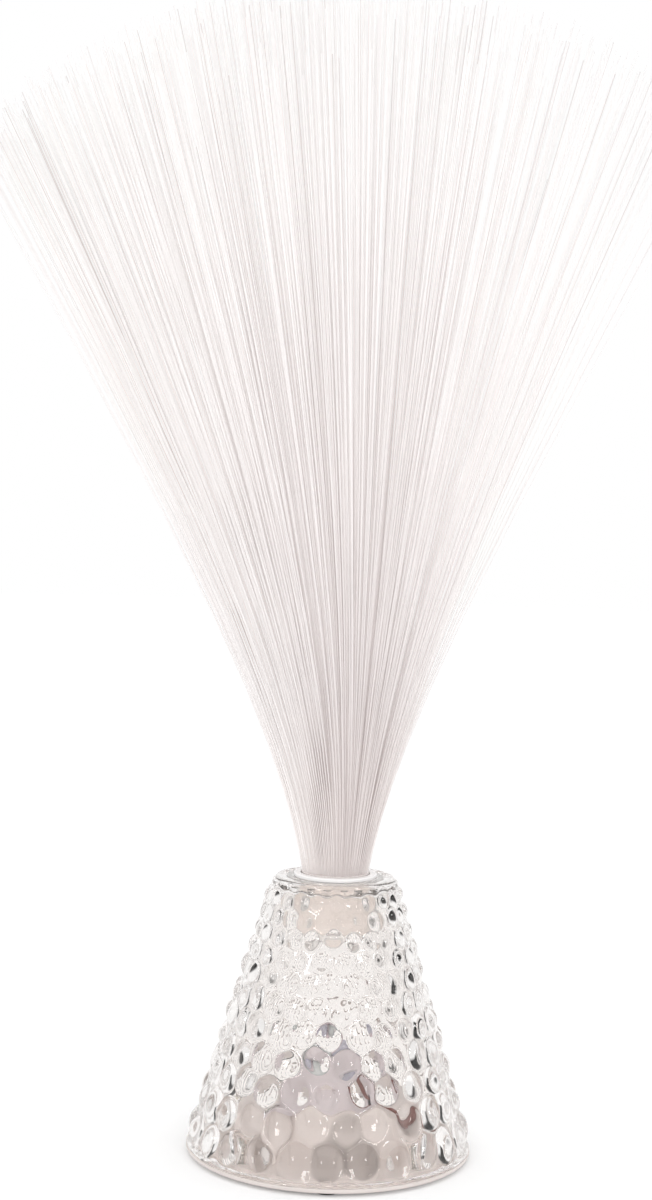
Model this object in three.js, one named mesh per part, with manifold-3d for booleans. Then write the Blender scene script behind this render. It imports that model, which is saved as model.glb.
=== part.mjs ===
// A battery-powered fibre optic table lamp: a spray of clear fibres in a ferrule, a hobnailed
// clear base that the spray plugs into, and a bottom cover that carries the cells, switch and lights.
// Lengths are in millimetres, +Z is up, and the origin is on the table under the middle of the base.
import * as THREE from "three";
import { mergeVertices } from "three/addons/utils/BufferGeometryUtils.js";
import Module from "manifold-3d";

const wasm = await Module();
wasm.setup();

// Clearances
const fitGap = 0.3; // between pieces that lie side by side
const tapGap = 0.2; // round a screw in its pilot hole
const overrun = 1; // how far a cutting tool runs past what it cuts

// Cells: three of the 10.5 by 44.5 mm size, side by side
const cellLength = 44.5;
const cellRadius = 5.25;
const cellNubRadius = 1.9;
const cellNubHeight = 0.8;
const cellEdge = 0.4;
const cellGap = 0.7;
const cellSideGap = 0.5;
const cellHeadroom = 0.5;
const cellLift = 0.5;

// Contact plates and springs at the ends of the cells
const contactThickness = 0.4;
const contactWidth = 8;
const contactHeight = 9.2;
const dimpleHeight = 0.4;
const dimpleRadius = 2;
const tailWidth = 3;
const tailReach = 2.2;
const tailDrop = 1.6;
const touchGap = 0.2;
const springLength = 2.8;
const springWireRadius = 0.2;
const springWideRadius = 3.4;
const springNarrowRadius = 2.2;
const springCurls = 3;

// Bottom cover, with the cell bay moulded on it
const footLift = 1;
const footRadius = 3.5;
const footRecess = 0.6;
const footEdge = 0.35;
const footInset = 5.2;
const coverFlange = 1.2;
const coverInset = 0.35;
const coverChamfer = 0.3;
const bayWall = 1.4;
const roofThickness = 1.4;
const ribWidth = 1.1;
const ribDrop = 2.2;
const ribLengthShare = 0.6;

// Battery door: hooked by two tabs at its -X end, latched at its +X end
const doorThickness = 1.4;
const ledgeThickness = 1;
const endLedge = 1;
const sideLedge = 0.4;
const ledgeReach = 1.5;
const tabReach = 1.65;
const tabThickness = 0.6;
const tabWidth = 5;
const tabSpacingShare = 0.5;
const latchWidth = 8;
const latchLength = 7;
const slitWidth = 0.8;
const notchRadius = 6;
const notchReach = 3.2;
const notchDepth = 1.1;
const gripHeight = 0.35;
const gripWidth = 0.7;
const gripCount = 3;

// Slide switch, at the back
const switchLength = 8.6;
const switchWidth = 4.4;
const switchHeight = 4.6;
const switchWall = 0.8;
const switchTravel = 2;
const carriageLength = 3.8;
const carriageHeight = 1.6;
const stemLength = 2.2;
const stemWidth = 1.5;
const thumbLength = 3.6;
const thumbWidth = 3;
const thumbHeight = 0.9;
const pocketMargin = 1.4;
const pocketDepth = 1.2;
const switchStandoff = 6.5;
const cradleThickness = 1;
const cradleHeight = 2.6;
const pinHeight = 1.4;
const pinWidth = 0.8;
const pinSpacing = 2.5;

// Crystal base
const crystalHeight = 77.8;
const crystalWall = 2.8;
const deckThickness = 3;
const caseRoom = 2;
const neckRoom = 4.2;
const footFlange = 1.3;
const footBand = 1.8;
const rimBand = 3.4;
const rimRound = 0.6;
const hobnailHeight = 1.8;
const hobnailsAround = 24;
const hobnailRows = 11;
const crownShare = 0.56;
const bossRadius = 3.2;
const bossHeight = 8;
const bossInset = 0.8;
const bossCount = 4;

// Spray: glued butt of fibres in a ferrule, in a clear socket cup
const buttRadius = 9.7;
const buttProud = 0.6;
const fibreLength = 248.4;
const fibreRadius = 0.36;
const fibreEdgeRoom = 0.5;
const fibreCount = 300;
const fibreRagged = 7;
const fibreTipFall = 60;
const mouthSlopeShare = 0.18;
const fanSlopeShare = 0.38;
const fringeSlopeShare = 0.22;
const fringePower = 8;
const leanShares = [-0.11, 0.05];
const settleHeight = 50;
const glueGap = 0.3;
const ferruleWall = 0.7;
const collarReach = 1.3;
const collarThickness = 1;
const cupWall = 1.1;
const cupFlangeReach = 2;
const cupFlangeThickness = 1.2;
const cupLedgeReach = 2.2;
const cupLedgeThickness = 1.2;
const socketDepth = 16;

// Lights and the pod that holds them
const ledRadius = 2.5;
const ledFlangeRadius = 2.9;
const ledFlangeHeight = 1;
const ledHeight = 8.6;
const ledSpacing = 0.6;
const ledCount = 3;
const legWidth = 0.5;
const legSpacing = 2.54;
const legReach = 1.1;
const legHoleGap = 0.25;
const boardThickness = 1.2;
const boardRoom = 0.5;
const chipRadius = 2.5;
const chipHeight = 1.1;
const podHeight = 13.1;
const podWall = 1.3;
const podTopRim = 2.2;
const podBaseRadius = 14.5;
const postRadius = 1.5;
const earRadius = 3.4;
const earThickness = 1.4;
const standRadius = 3;
const standOverlap = 0.45;
const podScrewX = 16;
const wireHoleRadius = 1.4;

// Screws: [shank radius, head radius, head height, length under the head]
const coverScrew = { shank: 1.25, head: 2.6, headHeight: 1.1, length: 7.5, sunk: 0.2 };
const podScrew = { shank: 1.1, head: 2.4, headHeight: 1.5, length: 7 };
const boardScrew = { shank: 0.7, head: 1.4, headHeight: 0.9, length: 3.1 };
const crossDepthShare = 0.55;
const crossLengthShare = 1.3;
const crossWidthShare = 0.32;

// Wires
const wireRadius = 0.6;

// Facets round each kind of piece
const ringFacets = 2 * hobnailsAround;
const fineFacets = 24;
const roundFacets = 12;
const smallFacets = 12;
const wireSides = 6;
const wireSteps = 18;

// Places that follow from the sizes
const coverUnder = footLift;
const crystalFoot = coverUnder + coverFlange;
const crystalTop = crystalFoot + crystalHeight;
const doorTop = coverUnder + doorThickness;
const coverFloor = doorTop + ledgeThickness;
const cellPitch = 2 * cellRadius + cellGap;
const cellAxis = doorTop + cellLift + cellRadius;
const roofUnder = cellAxis + cellRadius + cellHeadroom;
const roofTop = roofUnder + roofThickness;
const bayLength = cellLength + springLength + dimpleHeight + 2 * touchGap + 2 * contactThickness;
const bayWidth = 2 * cellPitch + 2 * cellRadius + 2 * cellSideGap;
const bayOuterLength = bayLength + 2 * bayWall;
const bayOuterWidth = bayWidth + 2 * bayWall;
const openLength = bayLength - 2 * endLedge;
const openWidth = bayWidth - 2 * sideLedge;
const doorLength = openLength + 2 * ledgeReach;
const doorWidth = openWidth + 2 * ledgeReach;
const tabSpacing = tabSpacingShare * doorWidth;
const hingeX = -doorLength / 2 - fitGap / 2;
const tabSwing = Math.hypot(tabReach + fitGap / 2, doorThickness);

const ferruleInner = buttRadius + glueGap;
const ferruleOuter = ferruleInner + ferruleWall;
const cupInner = ferruleOuter + fitGap;
const cupOuter = cupInner + cupWall;
const cupFlangeRadius = cupOuter + cupFlangeReach;
const cupBottom = crystalTop - socketDepth;
const ferruleBottom = cupBottom + cupLedgeThickness + fitGap;
const fibreRoot = crystalTop + collarThickness + buttProud;

// The inside of the base is a straight cone past the cell bay's corners and the socket cup.
const deckUnder = crystalTop - deckThickness;
const innerAtRoof = Math.hypot(bayOuterLength, bayOuterWidth) / 2 + caseRoom;
const innerAtDeck = cupOuter + neckRoom;
const coneSlope = (innerAtRoof - innerAtDeck) / (deckUnder - roofTop);
const innerRadiusAt = (z) => innerAtDeck + (deckUnder - z) * coneSlope;
const outerRadiusAt = (z) => innerRadiusAt(z) + crystalWall;
const footOuter = outerRadiusAt(crystalFoot) + footFlange;
const spigotRadius = innerRadiusAt(coverFloor) - fitGap;
const coverRadius = footOuter - coverInset;
const bossCircle = innerRadiusAt(coverFloor) - bossInset - bossRadius;
const footCircle = coverRadius - footInset;
const coverHeadSeat = coverUnder + coverScrew.sunk + coverScrew.headHeight;

const ledCircle = (2 * ledFlangeRadius + ledSpacing) / Math.sqrt(ledCount);
const podTop = roofTop + podHeight;
const podTopRadius = ledCircle + ledRadius + podTopRim;
const deckBottom = podTop - podWall;
const boardTop = deckBottom - fitGap - ledFlangeHeight;
const boardBottom = boardTop - boardThickness;
const podRadiusAt = (z) =>
  podBaseRadius - ((podBaseRadius - podTopRadius) * (z - roofTop)) / podHeight;
const boardRadius = podRadiusAt(boardTop) - podWall - boardRoom;
const boardScrewCircle = boardRadius - postRadius;
const standY = bayOuterWidth / 2 + standRadius - standOverlap;
const podScrewAt = [
  [-podScrewX, -standY],
  [podScrewX, standY],
];
const switchY = bayOuterWidth / 2 + switchStandoff + switchWidth / 2;
const switchTop = coverFloor + switchHeight;

// Angles of the repeated pieces
const turn = 2 * Math.PI;
const bossAngles = Array.from({ length: bossCount }, (_, i) => (turn * (i + 1 / 2)) / bossCount);
const footAngles = bossAngles.map((angle) => angle - Math.PI / bossCount);
const ledAngles = Array.from({ length: ledCount }, (_, i) => Math.PI / 2 + (turn * i) / ledCount);
const boardScrewAngles = [Math.PI / 6, Math.PI - Math.PI / 6];
const redWireAngle = -Math.PI / 4;
const onCircle = (radius, angle) => [radius * Math.cos(angle), radius * Math.sin(angle)];

// Solids and geometries
function solid(geometry) {
  const bare = geometry.index ? geometry.toNonIndexed() : geometry.clone();
  bare.deleteAttribute("normal");
  bare.deleteAttribute("uv");
  const merged = mergeVertices(bare);
  return new wasm.Manifold(
    new wasm.Mesh({
      numProp: 3,
      vertProperties: merged.attributes.position.array,
      triVerts: new Uint32Array(merged.index.array),
    }),
  );
}

function geometryOf(body) {
  const mesh = body.getMesh();
  const geometry = new THREE.BufferGeometry();
  geometry.setAttribute("position", new THREE.BufferAttribute(mesh.vertProperties, 3));
  geometry.setIndex(new THREE.BufferAttribute(mesh.triVerts, 1));
  const flat = geometry.toNonIndexed();
  flat.computeVertexNormals();
  return flat;
}

// A profile of [radius, height] points turned about Z. It runs up the outside and down the inside.
function turned(profile, facets) {
  const points = profile.map(([radius, height]) => new THREE.Vector2(radius, height));
  return new THREE.LatheGeometry(points, facets).rotateX(Math.PI / 2).rotateZ(Math.PI / 2);
}

// A block from its lowest to its highest corner.
function block([x0, y0, z0], [x1, y1, z1]) {
  return new THREE.BoxGeometry(x1 - x0, y1 - y0, z1 - z0).translate(
    (x0 + x1) / 2,
    (y0 + y1) / 2,
    (z0 + z1) / 2,
  );
}

// A block of the given length and width, centred on (x, y), from z0 to z1.
function slab(length, width, z0, z1, x = 0, y = 0) {
  return block([x - length / 2, y - width / 2, z0], [x + length / 2, y + width / 2, z1]);
}

// An upright cylinder centred on (x, y), from z0 to z1.
function rod(radius, z0, z1, [x, y] = [0, 0], facets = smallFacets) {
  return new THREE.CylinderGeometry(radius, radius, z1 - z0, facets)
    .rotateX(Math.PI / 2)
    .translate(x, y, (z0 + z1) / 2);
}

// A tube with flat ends, whose rings are carried along a line of points without twisting.
function tube(points, radius, sides) {
  const tangents = points.map((_, i) => {
    const before = points[Math.max(i - 1, 0)];
    const after = points[Math.min(i + 1, points.length - 1)];
    return after.clone().sub(before).normalize();
  });
  const side = new THREE.Vector3(0, 1, 0);
  if (Math.abs(tangents[0].dot(side)) > Math.SQRT1_2) side.set(1, 0, 0);
  const positions = [];
  points.forEach((point, i) => {
    side.addScaledVector(tangents[i], -side.dot(tangents[i])).normalize();
    const up = tangents[i].clone().cross(side);
    for (let j = 0; j < sides; j += 1) {
      const angle = (turn * j) / sides;
      positions.push(
        ...point
          .clone()
          .addScaledVector(side, radius * Math.cos(angle))
          .addScaledVector(up, radius * Math.sin(angle))
          .toArray(),
      );
    }
  });
  const index = [];
  for (let i = 0; i < points.length - 1; i += 1) {
    for (let j = 0; j < sides; j += 1) {
      const a = i * sides + j;
      const b = i * sides + ((j + 1) % sides);
      index.push(a, b, b + sides, a, b + sides, a + sides);
    }
  }
  const last = (points.length - 1) * sides;
  for (let j = 1; j < sides - 1; j += 1) {
    index.push(0, j + 1, j);
    index.push(last, last + j, last + j + 1);
  }
  const geometry = new THREE.BufferGeometry();
  geometry.setAttribute("position", new THREE.Float32BufferAttribute(positions, 3));
  geometry.setIndex(index);
  return geometry;
}

const joined = (...geometries) => wasm.Manifold.union(geometries.map(solid));
const cut = (body, ...tools) => body.subtract(wasm.Manifold.union(tools.map(solid)));

// Crystal base: the outer wall is a honeycomb of raised crowns whose rows shrink with the cone.
function crystalShell() {
  const patternLow = crystalFoot + footBand;
  const patternHigh = crystalTop - rimBand;
  const lowRadius = outerRadiusAt(patternLow);
  const highRadius = outerRadiusAt(patternHigh);
  const pitches = hobnailRows + 1 / 3;
  const shrink = (highRadius / lowRadius) ** (1 / pitches);
  const positions = [];
  const index = [];
  const addPoint = (radius, z, step) => {
    const [x, y] = onCircle(radius, (turn * step) / ringFacets);
    positions.push(x, y, z);
    return positions.length / 3 - 1;
  };
  const addWallPoint = (row, step, lift) => {
    const radius = lowRadius * shrink ** row;
    const raised = (lift * hobnailHeight * radius) / lowRadius;
    const tilt = Math.hypot(1, coneSlope);
    const z = patternLow + (lowRadius - radius) / coneSlope;
    return addPoint(radius + raised / tilt, z + (raised * coneSlope) / tilt, step);
  };
  const ring = (radius, z) =>
    Array.from({ length: ringFacets }, (_, step) => addPoint(radius, z, step));
  const zigzag = (row) =>
    Array.from({ length: ringFacets }, (_, step) =>
      addWallPoint(row + ((step - row) % 2 === 0 ? 0 : 1 / 3), step, 0),
    );
  const band = (below, above) => {
    for (let step = 0; step < ringFacets; step += 1) {
      const next = (step + 1) % ringFacets;
      index.push(below[step], below[next], above[next], below[step], above[next], above[step]);
    }
  };
  const crown = (row, step, below, above) => {
    const left = (step - 1 + ringFacets) % ringFacets;
    const right = (step + 1) % ringFacets;
    const corners = [below[step], below[right], above[right], above[step], above[left], below[left]];
    const offsets = [
      [0, -2 / 3],
      [1, -1 / 3],
      [1, 1 / 3],
      [0, 2 / 3],
      [-1, 1 / 3],
      [-1, -1 / 3],
    ];
    const inner = offsets.map(([across, up]) =>
      addWallPoint(row + 2 / 3 + up * crownShare, step + across * crownShare, 1),
    );
    corners.forEach((corner, i) => {
      const next = (i + 1) % corners.length;
      index.push(corner, corners[next], inner[next], corner, inner[next], inner[i]);
      if (i > 0 && next > 0) index.push(inner[0], inner[i], inner[next]);
    });
  };
  const mouth = ring(innerRadiusAt(crystalFoot), crystalFoot);
  const footLow = ring(footOuter, crystalFoot);
  const footHigh = ring(footOuter, patternLow);
  const edges = Array.from({ length: hobnailRows + 1 }, (_, row) => zigzag(row));
  const rimRadius = outerRadiusAt(crystalTop);
  const upper = [
    [outerRadiusAt(patternHigh), patternHigh + rimRound],
    [rimRadius, crystalTop - rimRound],
    [rimRadius - rimRound, crystalTop],
    [cupFlangeRadius + fitGap, crystalTop],
    [cupFlangeRadius + fitGap, crystalTop - cupFlangeThickness],
    [cupOuter + fitGap, crystalTop - cupFlangeThickness],
    [cupOuter + fitGap, deckUnder],
    [innerAtDeck, deckUnder],
  ].map(([radius, z]) => ring(radius, z));
  band(mouth, footLow);
  band(footLow, footHigh);
  band(footHigh, edges[0]);
  for (let row = 0; row < hobnailRows; row += 1) {
    for (let step = row % 2; step < ringFacets; step += 2) {
      crown(row, step, edges[row], edges[row + 1]);
    }
  }
  [edges[hobnailRows], ...upper, mouth].reduce((below, above) => {
    band(below, above);
    return above;
  });
  const geometry = new THREE.BufferGeometry();
  geometry.setAttribute("position", new THREE.Float32BufferAttribute(positions, 3));
  geometry.setIndex(index);
  return geometry;
}

function crystalBase() {
  const bosses = bossAngles.map((angle) =>
    rod(bossRadius, coverFloor, coverFloor + bossHeight, onCircle(bossCircle, angle)),
  );
  const pilotTop = coverHeadSeat + coverScrew.length + fitGap;
  const pilots = bossAngles.map((angle) =>
    rod(coverScrew.shank + tapGap, coverFloor - overrun, pilotTop, onCircle(bossCircle, angle)),
  );
  return geometryOf(cut(joined(crystalShell(), ...bosses), ...pilots));
}

// Socket cup: drops into the hole in the top of the base and holds the ferrule.
function socketCup() {
  const ledge = buttRadius - cupLedgeReach;
  const flangeUnder = crystalTop - cupFlangeThickness;
  return turned(
    [
      [ledge, cupBottom],
      [cupOuter, cupBottom],
      [cupOuter, flangeUnder],
      [cupFlangeRadius, flangeUnder],
      [cupFlangeRadius, crystalTop],
      [cupInner, crystalTop],
      [cupInner, cupBottom + cupLedgeThickness],
      [ledge, cupBottom + cupLedgeThickness],
      [ledge, cupBottom],
    ],
    fineFacets,
  );
}

function ferrule() {
  const collarRadius = ferruleOuter + collarReach;
  return turned(
    [
      [ferruleInner, ferruleBottom],
      [ferruleOuter, ferruleBottom],
      [ferruleOuter, crystalTop],
      [collarRadius, crystalTop],
      [collarRadius, crystalTop + collarThickness],
      [ferruleInner, crystalTop + collarThickness],
      [ferruleInner, ferruleBottom],
    ],
    fineFacets,
  );
}

// Fibres: laid out as seeds in a sunflower, and fanned so that those at the edge lean out the most.
// The whole spray leans a little to the left and back, but for its thin fringe.
const goldenAngle = Math.PI * (3 - Math.sqrt(5));
const bendShares = [[], [1 / 4], [1 / 8, 1 / 3]]; // where fibres bend, from the middle to the edge
const unevenness = (i) => (Math.sin(i * goldenAngle * goldenAngle) + 1) / 2;

function fibrePath(i) {
  const place = Math.sqrt((i + 1 / 2) / fibreCount);
  const fringe = place ** fringePower;
  const outward = new THREE.Vector2(...onCircle(1, i * goldenAngle));
  const root = outward.clone().multiplyScalar((buttRadius - fibreEdgeRoom) * place);
  const mouthSlope = outward.clone().multiplyScalar(mouthSlopeShare * place);
  const fanSlope = outward.clone().multiplyScalar(fanSlopeShare * place + fringeSlopeShare * fringe);
  fanSlope.addScaledVector(new THREE.Vector2(...leanShares), (1 - fringe) ** 2);
  const bend = fanSlope.clone().sub(mouthSlope).multiplyScalar(settleHeight);
  const length =
    fibreLength - fibreRagged * unevenness(i) * place - fibreTipFall * fanSlope.lengthSq();
  // The height at which the fibre's chord is as long as the fibre.
  const spread = 1 + fanSlope.lengthSq();
  const reach = fanSlope.dot(bend);
  const tip = (reach + Math.sqrt(reach ** 2 - spread * (bend.lengthSq() - length ** 2))) / spread;
  const bends = bendShares[Math.floor(bendShares.length * place ** 9)];
  const at = (height) => {
    const settled = 1 - Math.exp(-height / settleHeight);
    const { x, y } = root.clone().addScaledVector(fanSlope, height).addScaledVector(bend, -settled);
    return new THREE.Vector3(x, y, fibreRoot + height);
  };
  const foot = at(0).setZ(fibreRoot - buttProud / 2);
  return [foot, ...bends.map((share) => at(share * tip)), at(tip)];
}

function fibreBundle() {
  const butt = rod(buttRadius, ferruleBottom, fibreRoot, [0, 0], fineFacets);
  const fibres = Array.from({ length: fibreCount }, (_, i) => tube(fibrePath(i), fibreRadius, 3));
  return geometryOf(joined(butt, ...fibres));
}

// Bottom cover: a flanged disc with the cell bay, the stands for the pod and the switch's cradle.
function bottomCover() {
  const disc = turned(
    [
      [0, coverUnder],
      [coverRadius - coverChamfer, coverUnder],
      [coverRadius, coverUnder + coverChamfer],
      [coverRadius, crystalFoot],
      [spigotRadius, crystalFoot],
      [spigotRadius, coverFloor],
      [0, coverFloor],
    ],
    ringFacets,
  );
  const bay = slab(bayOuterLength, bayOuterWidth, doorTop, roofTop);
  const stands = podScrewAt.map((at) => rod(standRadius, doorTop, roofTop, at));
  const cradleY = switchWidth / 2 + fitGap + cradleThickness / 2;
  const cradles = [-cradleY, cradleY].map((y) =>
    slab(switchLength, cradleThickness, doorTop, coverFloor + cradleHeight, 0, switchY + y),
  );
  const body = joined(disc, bay, ...stands, ...cradles);

  const below = coverUnder - overrun;
  const cellRoom = cut(
    solid(slab(bayLength, bayWidth, coverFloor, roofUnder)),
    ...[-cellPitch / 2, cellPitch / 2].map((y) =>
      slab(bayLength * ribLengthShare, ribWidth, roofUnder - ribDrop, roofUnder + overrun, 0, y),
    ),
  );
  const recess = slab(doorLength + 2 * fitGap, doorWidth + 2 * fitGap, below, doorTop);
  const opening = slab(openLength, openWidth, below, coverFloor + overrun);
  const notch = rod(notchRadius, below, coverUnder + notchDepth, [
    doorLength / 2 + fitGap + notchReach - notchRadius,
    0,
  ]);
  const lipTop = doorTop - tabThickness - fitGap;
  const slotEnd = hingeX - tabSwing - fitGap;
  const tabSlots = [-tabSpacing / 2, tabSpacing / 2].flatMap((y) => {
    const low = y - tabWidth / 2 - fitGap;
    const high = y + tabWidth / 2 + fitGap;
    return [
      block([slotEnd, low, lipTop], [-openLength / 2 + overrun, high, coverUnder + tabSwing + fitGap]),
      block([slotEnd, low, lipTop], [-bayOuterLength / 2, high, coverFloor + overrun]),
    ];
  });
  const pocketLength = thumbLength + switchTravel + 2 * pocketMargin;
  const pocketTop = coverUnder + pocketDepth;
  const pocket = slab(pocketLength, thumbWidth + 2 * fitGap + pocketMargin, below, pocketTop, 0, switchY);
  const slotLength = stemLength + switchTravel + 2 * fitGap;
  const slot = slab(slotLength, stemWidth + 2 * fitGap, below, coverFloor + overrun, 0, switchY);
  const screwHoles = bossAngles.flatMap((angle) => {
    const at = onCircle(bossCircle, angle);
    return [
      rod(coverScrew.head + fitGap, below, coverHeadSeat, at),
      rod(coverScrew.shank + fitGap, below, coverFloor + overrun, at),
    ];
  });
  const pilotBottom = roofTop + earThickness - podScrew.length - fitGap;
  const pilots = podScrewAt.map((at) =>
    rod(podScrew.shank + tapGap, pilotBottom, roofTop + overrun, at),
  );
  const footSeats = footAngles.map((angle) =>
    rod(footRadius + tapGap, below, coverUnder + footRecess, onCircle(footCircle, angle)),
  );
  const tailLow = roofUnder - tailDrop - fitGap;
  const tailHigh = tailLow + contactThickness + 2 * fitGap;
  const tailSlots = [-1, 1].map((end) =>
    slab(bayLength, tailWidth + 2 * fitGap, tailLow, tailHigh, end * bayLength, -end * cellPitch),
  );
  const cutters = [recess, opening, notch, ...tabSlots, pocket, slot, ...screwHoles];
  const shaped = cut(body, ...cutters, ...pilots, ...footSeats, ...tailSlots);
  return geometryOf(shaped.subtract(cellRoom));
}

// Battery door, with its tabs, the slits that free its latch tongue, and grip ribs.
function batteryDoor() {
  const half = doorLength / 2;
  const panel = slab(doorLength, doorWidth, coverUnder, doorTop);
  const tabs = [-tabSpacing / 2, tabSpacing / 2].map((y) =>
    block(
      [-half - tabReach, y - tabWidth / 2, doorTop - tabThickness],
      [-half + overrun, y + tabWidth / 2, doorTop],
    ),
  );
  const grips = Array.from({ length: gripCount }, (_, i) =>
    slab(
      gripWidth,
      latchWidth * crownShare,
      coverUnder - gripHeight,
      coverUnder + gripHeight,
      half - gripWidth * (2 * i + 3),
    ),
  );
  const slits = [-latchWidth / 2, latchWidth / 2].map((y) =>
    slab(
      latchLength + overrun,
      slitWidth,
      coverUnder - overrun,
      doorTop + overrun,
      half + (overrun - latchLength) / 2,
      y,
    ),
  );
  return geometryOf(cut(joined(panel, ...tabs, ...grips), ...slits));
}

function rubberFoot([x, y]) {
  const top = coverUnder + footRecess;
  return turned(
    [
      [0, 0],
      [footRadius - footEdge, 0],
      [footRadius, footEdge],
      [footRadius, top],
      [0, top],
    ],
    roundFacets,
  ).translate(x, y, 0);
}

// A screw with its head up at the origin and its shank below, with a cross recess if it is large.
function screw({ shank, head, headHeight, length }, crossed = true) {
  const body = turned(
    [
      [0, -length],
      [shank, shank - length],
      [shank, 0],
      [head, 0],
      [head, headHeight / 2],
      [head - headHeight / 2, headHeight],
      [0, headHeight],
    ],
    smallFacets,
  );
  if (!crossed) return body;
  const depth = headHeight * (1 - crossDepthShare);
  const long = head * crossLengthShare;
  const short = head * crossWidthShare;
  const top = headHeight + overrun;
  return geometryOf(cut(solid(body), slab(long, short, depth, top), slab(short, long, depth, top)));
}

// Cells lie along X, the outer two with their nub at +X and the middle one turned round.
function cell() {
  const end = cellLength / 2;
  return turned(
    [
      [0, -end],
      [cellRadius - cellEdge, -end],
      [cellRadius, cellEdge - end],
      [cellRadius, end - cellNubHeight - cellEdge],
      [cellRadius - cellEdge, end - cellNubHeight],
      [cellNubRadius, end - cellNubHeight],
      [cellNubRadius, end],
      [0, end],
    ],
    roundFacets,
  ).rotateY(Math.PI / 2);
}
const cellRows = [
  { y: -cellPitch, facing: 1 },
  { y: 0, facing: -1 },
  { y: cellPitch, facing: 1 },
];
const plateFace = bayLength / 2 - contactThickness;
const cellShift = plateFace - dimpleHeight - touchGap - cellLength / 2;

// A contact plate against the end wall at side 1 or -1, with a dimple at each y in dimples.
function contactPlate(side, ys, dimples, tailed) {
  const low = Math.min(...ys) - contactWidth / 2;
  const high = Math.max(...ys) + contactWidth / 2;
  const x = (inner, outer) => (side > 0 ? [inner, outer] : [-outer, -inner]);
  const [x0, x1] = x(plateFace, bayLength / 2);
  const pieces = [block([x0, low, coverFloor], [x1, high, coverFloor + contactHeight])];
  dimples.forEach((y) => {
    const bump = new THREE.CylinderGeometry(
      dimpleRadius,
      dimpleRadius - dimpleHeight,
      dimpleHeight + contactThickness / 2,
      smallFacets,
    );
    bump.rotateZ(side > 0 ? -Math.PI / 2 : Math.PI / 2);
    bump.translate(side * (plateFace + contactThickness / 4 - dimpleHeight / 2), y, cellAxis);
    pieces.push(bump);
  });
  if (tailed) {
    const [t0, t1] = x(plateFace, bayOuterLength / 2 + tailReach);
    const z = roofUnder - tailDrop;
    pieces.push(block([t0, ys[0] - tailWidth / 2, z], [t1, ys[0] + tailWidth / 2, z + contactThickness]));
  }
  return geometryOf(joined(...pieces));
}

// A cone of springy wire from the plate at side 1 or -1 to the flat end of its cell.
function springPath(side, y) {
  const steps = 8 * springCurls;
  const start = plateFace - springWireRadius - touchGap / 2;
  const end = plateFace - springLength + springWireRadius;
  return Array.from({ length: steps + 1 }, (_, i) => {
    const share = i / steps;
    const radius = springWideRadius + (springNarrowRadius - springWideRadius) * share;
    const [a, b] = onCircle(radius, turn * springCurls * share);
    return new THREE.Vector3(side * (start + (end - start) * share), y + a, cellAxis + b);
  });
}

// The least space between two turns of a wound wire, measured at its points.
function leastGap(points, wire, perTurn) {
  let least = Infinity;
  points.forEach((a, i) => {
    for (let j = i + Math.ceil(perTurn / 2); j < points.length; j += 1) {
      least = Math.min(least, a.distanceTo(points[j]) - 2 * wire);
    }
  });
  return least;
}

// Slide switch: a can open to the slot, with three pins, and the slider that rides in it.
function switchBody() {
  const can = slab(switchLength, switchWidth, coverFloor, switchTop, 0, switchY);
  const hollow = slab(
    switchLength - 2 * switchWall,
    switchWidth - 2 * switchWall,
    coverFloor - overrun,
    switchTop - switchWall,
    0,
    switchY,
  );
  const pins = [-pinSpacing, 0, pinSpacing].map((x) =>
    slab(pinWidth, pinWidth / 2, switchTop - switchWall / 2, switchTop + pinHeight, x, switchY),
  );
  return geometryOf(joined(geometryOf(cut(solid(can), hollow)), ...pins));
}

function switchSlider() {
  const x = -switchTravel / 2;
  const room = switchWidth - 2 * switchWall - 2 * fitGap;
  const low = coverFloor + fitGap;
  const thumbTop = coverUnder + pocketDepth - fitGap / 2;
  const carriage = slab(carriageLength, room, low, low + carriageHeight, x, switchY);
  const stemLow = thumbTop - thumbHeight / 2;
  const stem = slab(stemLength, stemWidth, stemLow, low + carriageHeight / 2, x, switchY);
  const thumb = slab(thumbLength, thumbWidth, thumbTop - thumbHeight, thumbTop, x, switchY);
  return geometryOf(joined(carriage, stem, thumb));
}

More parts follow.
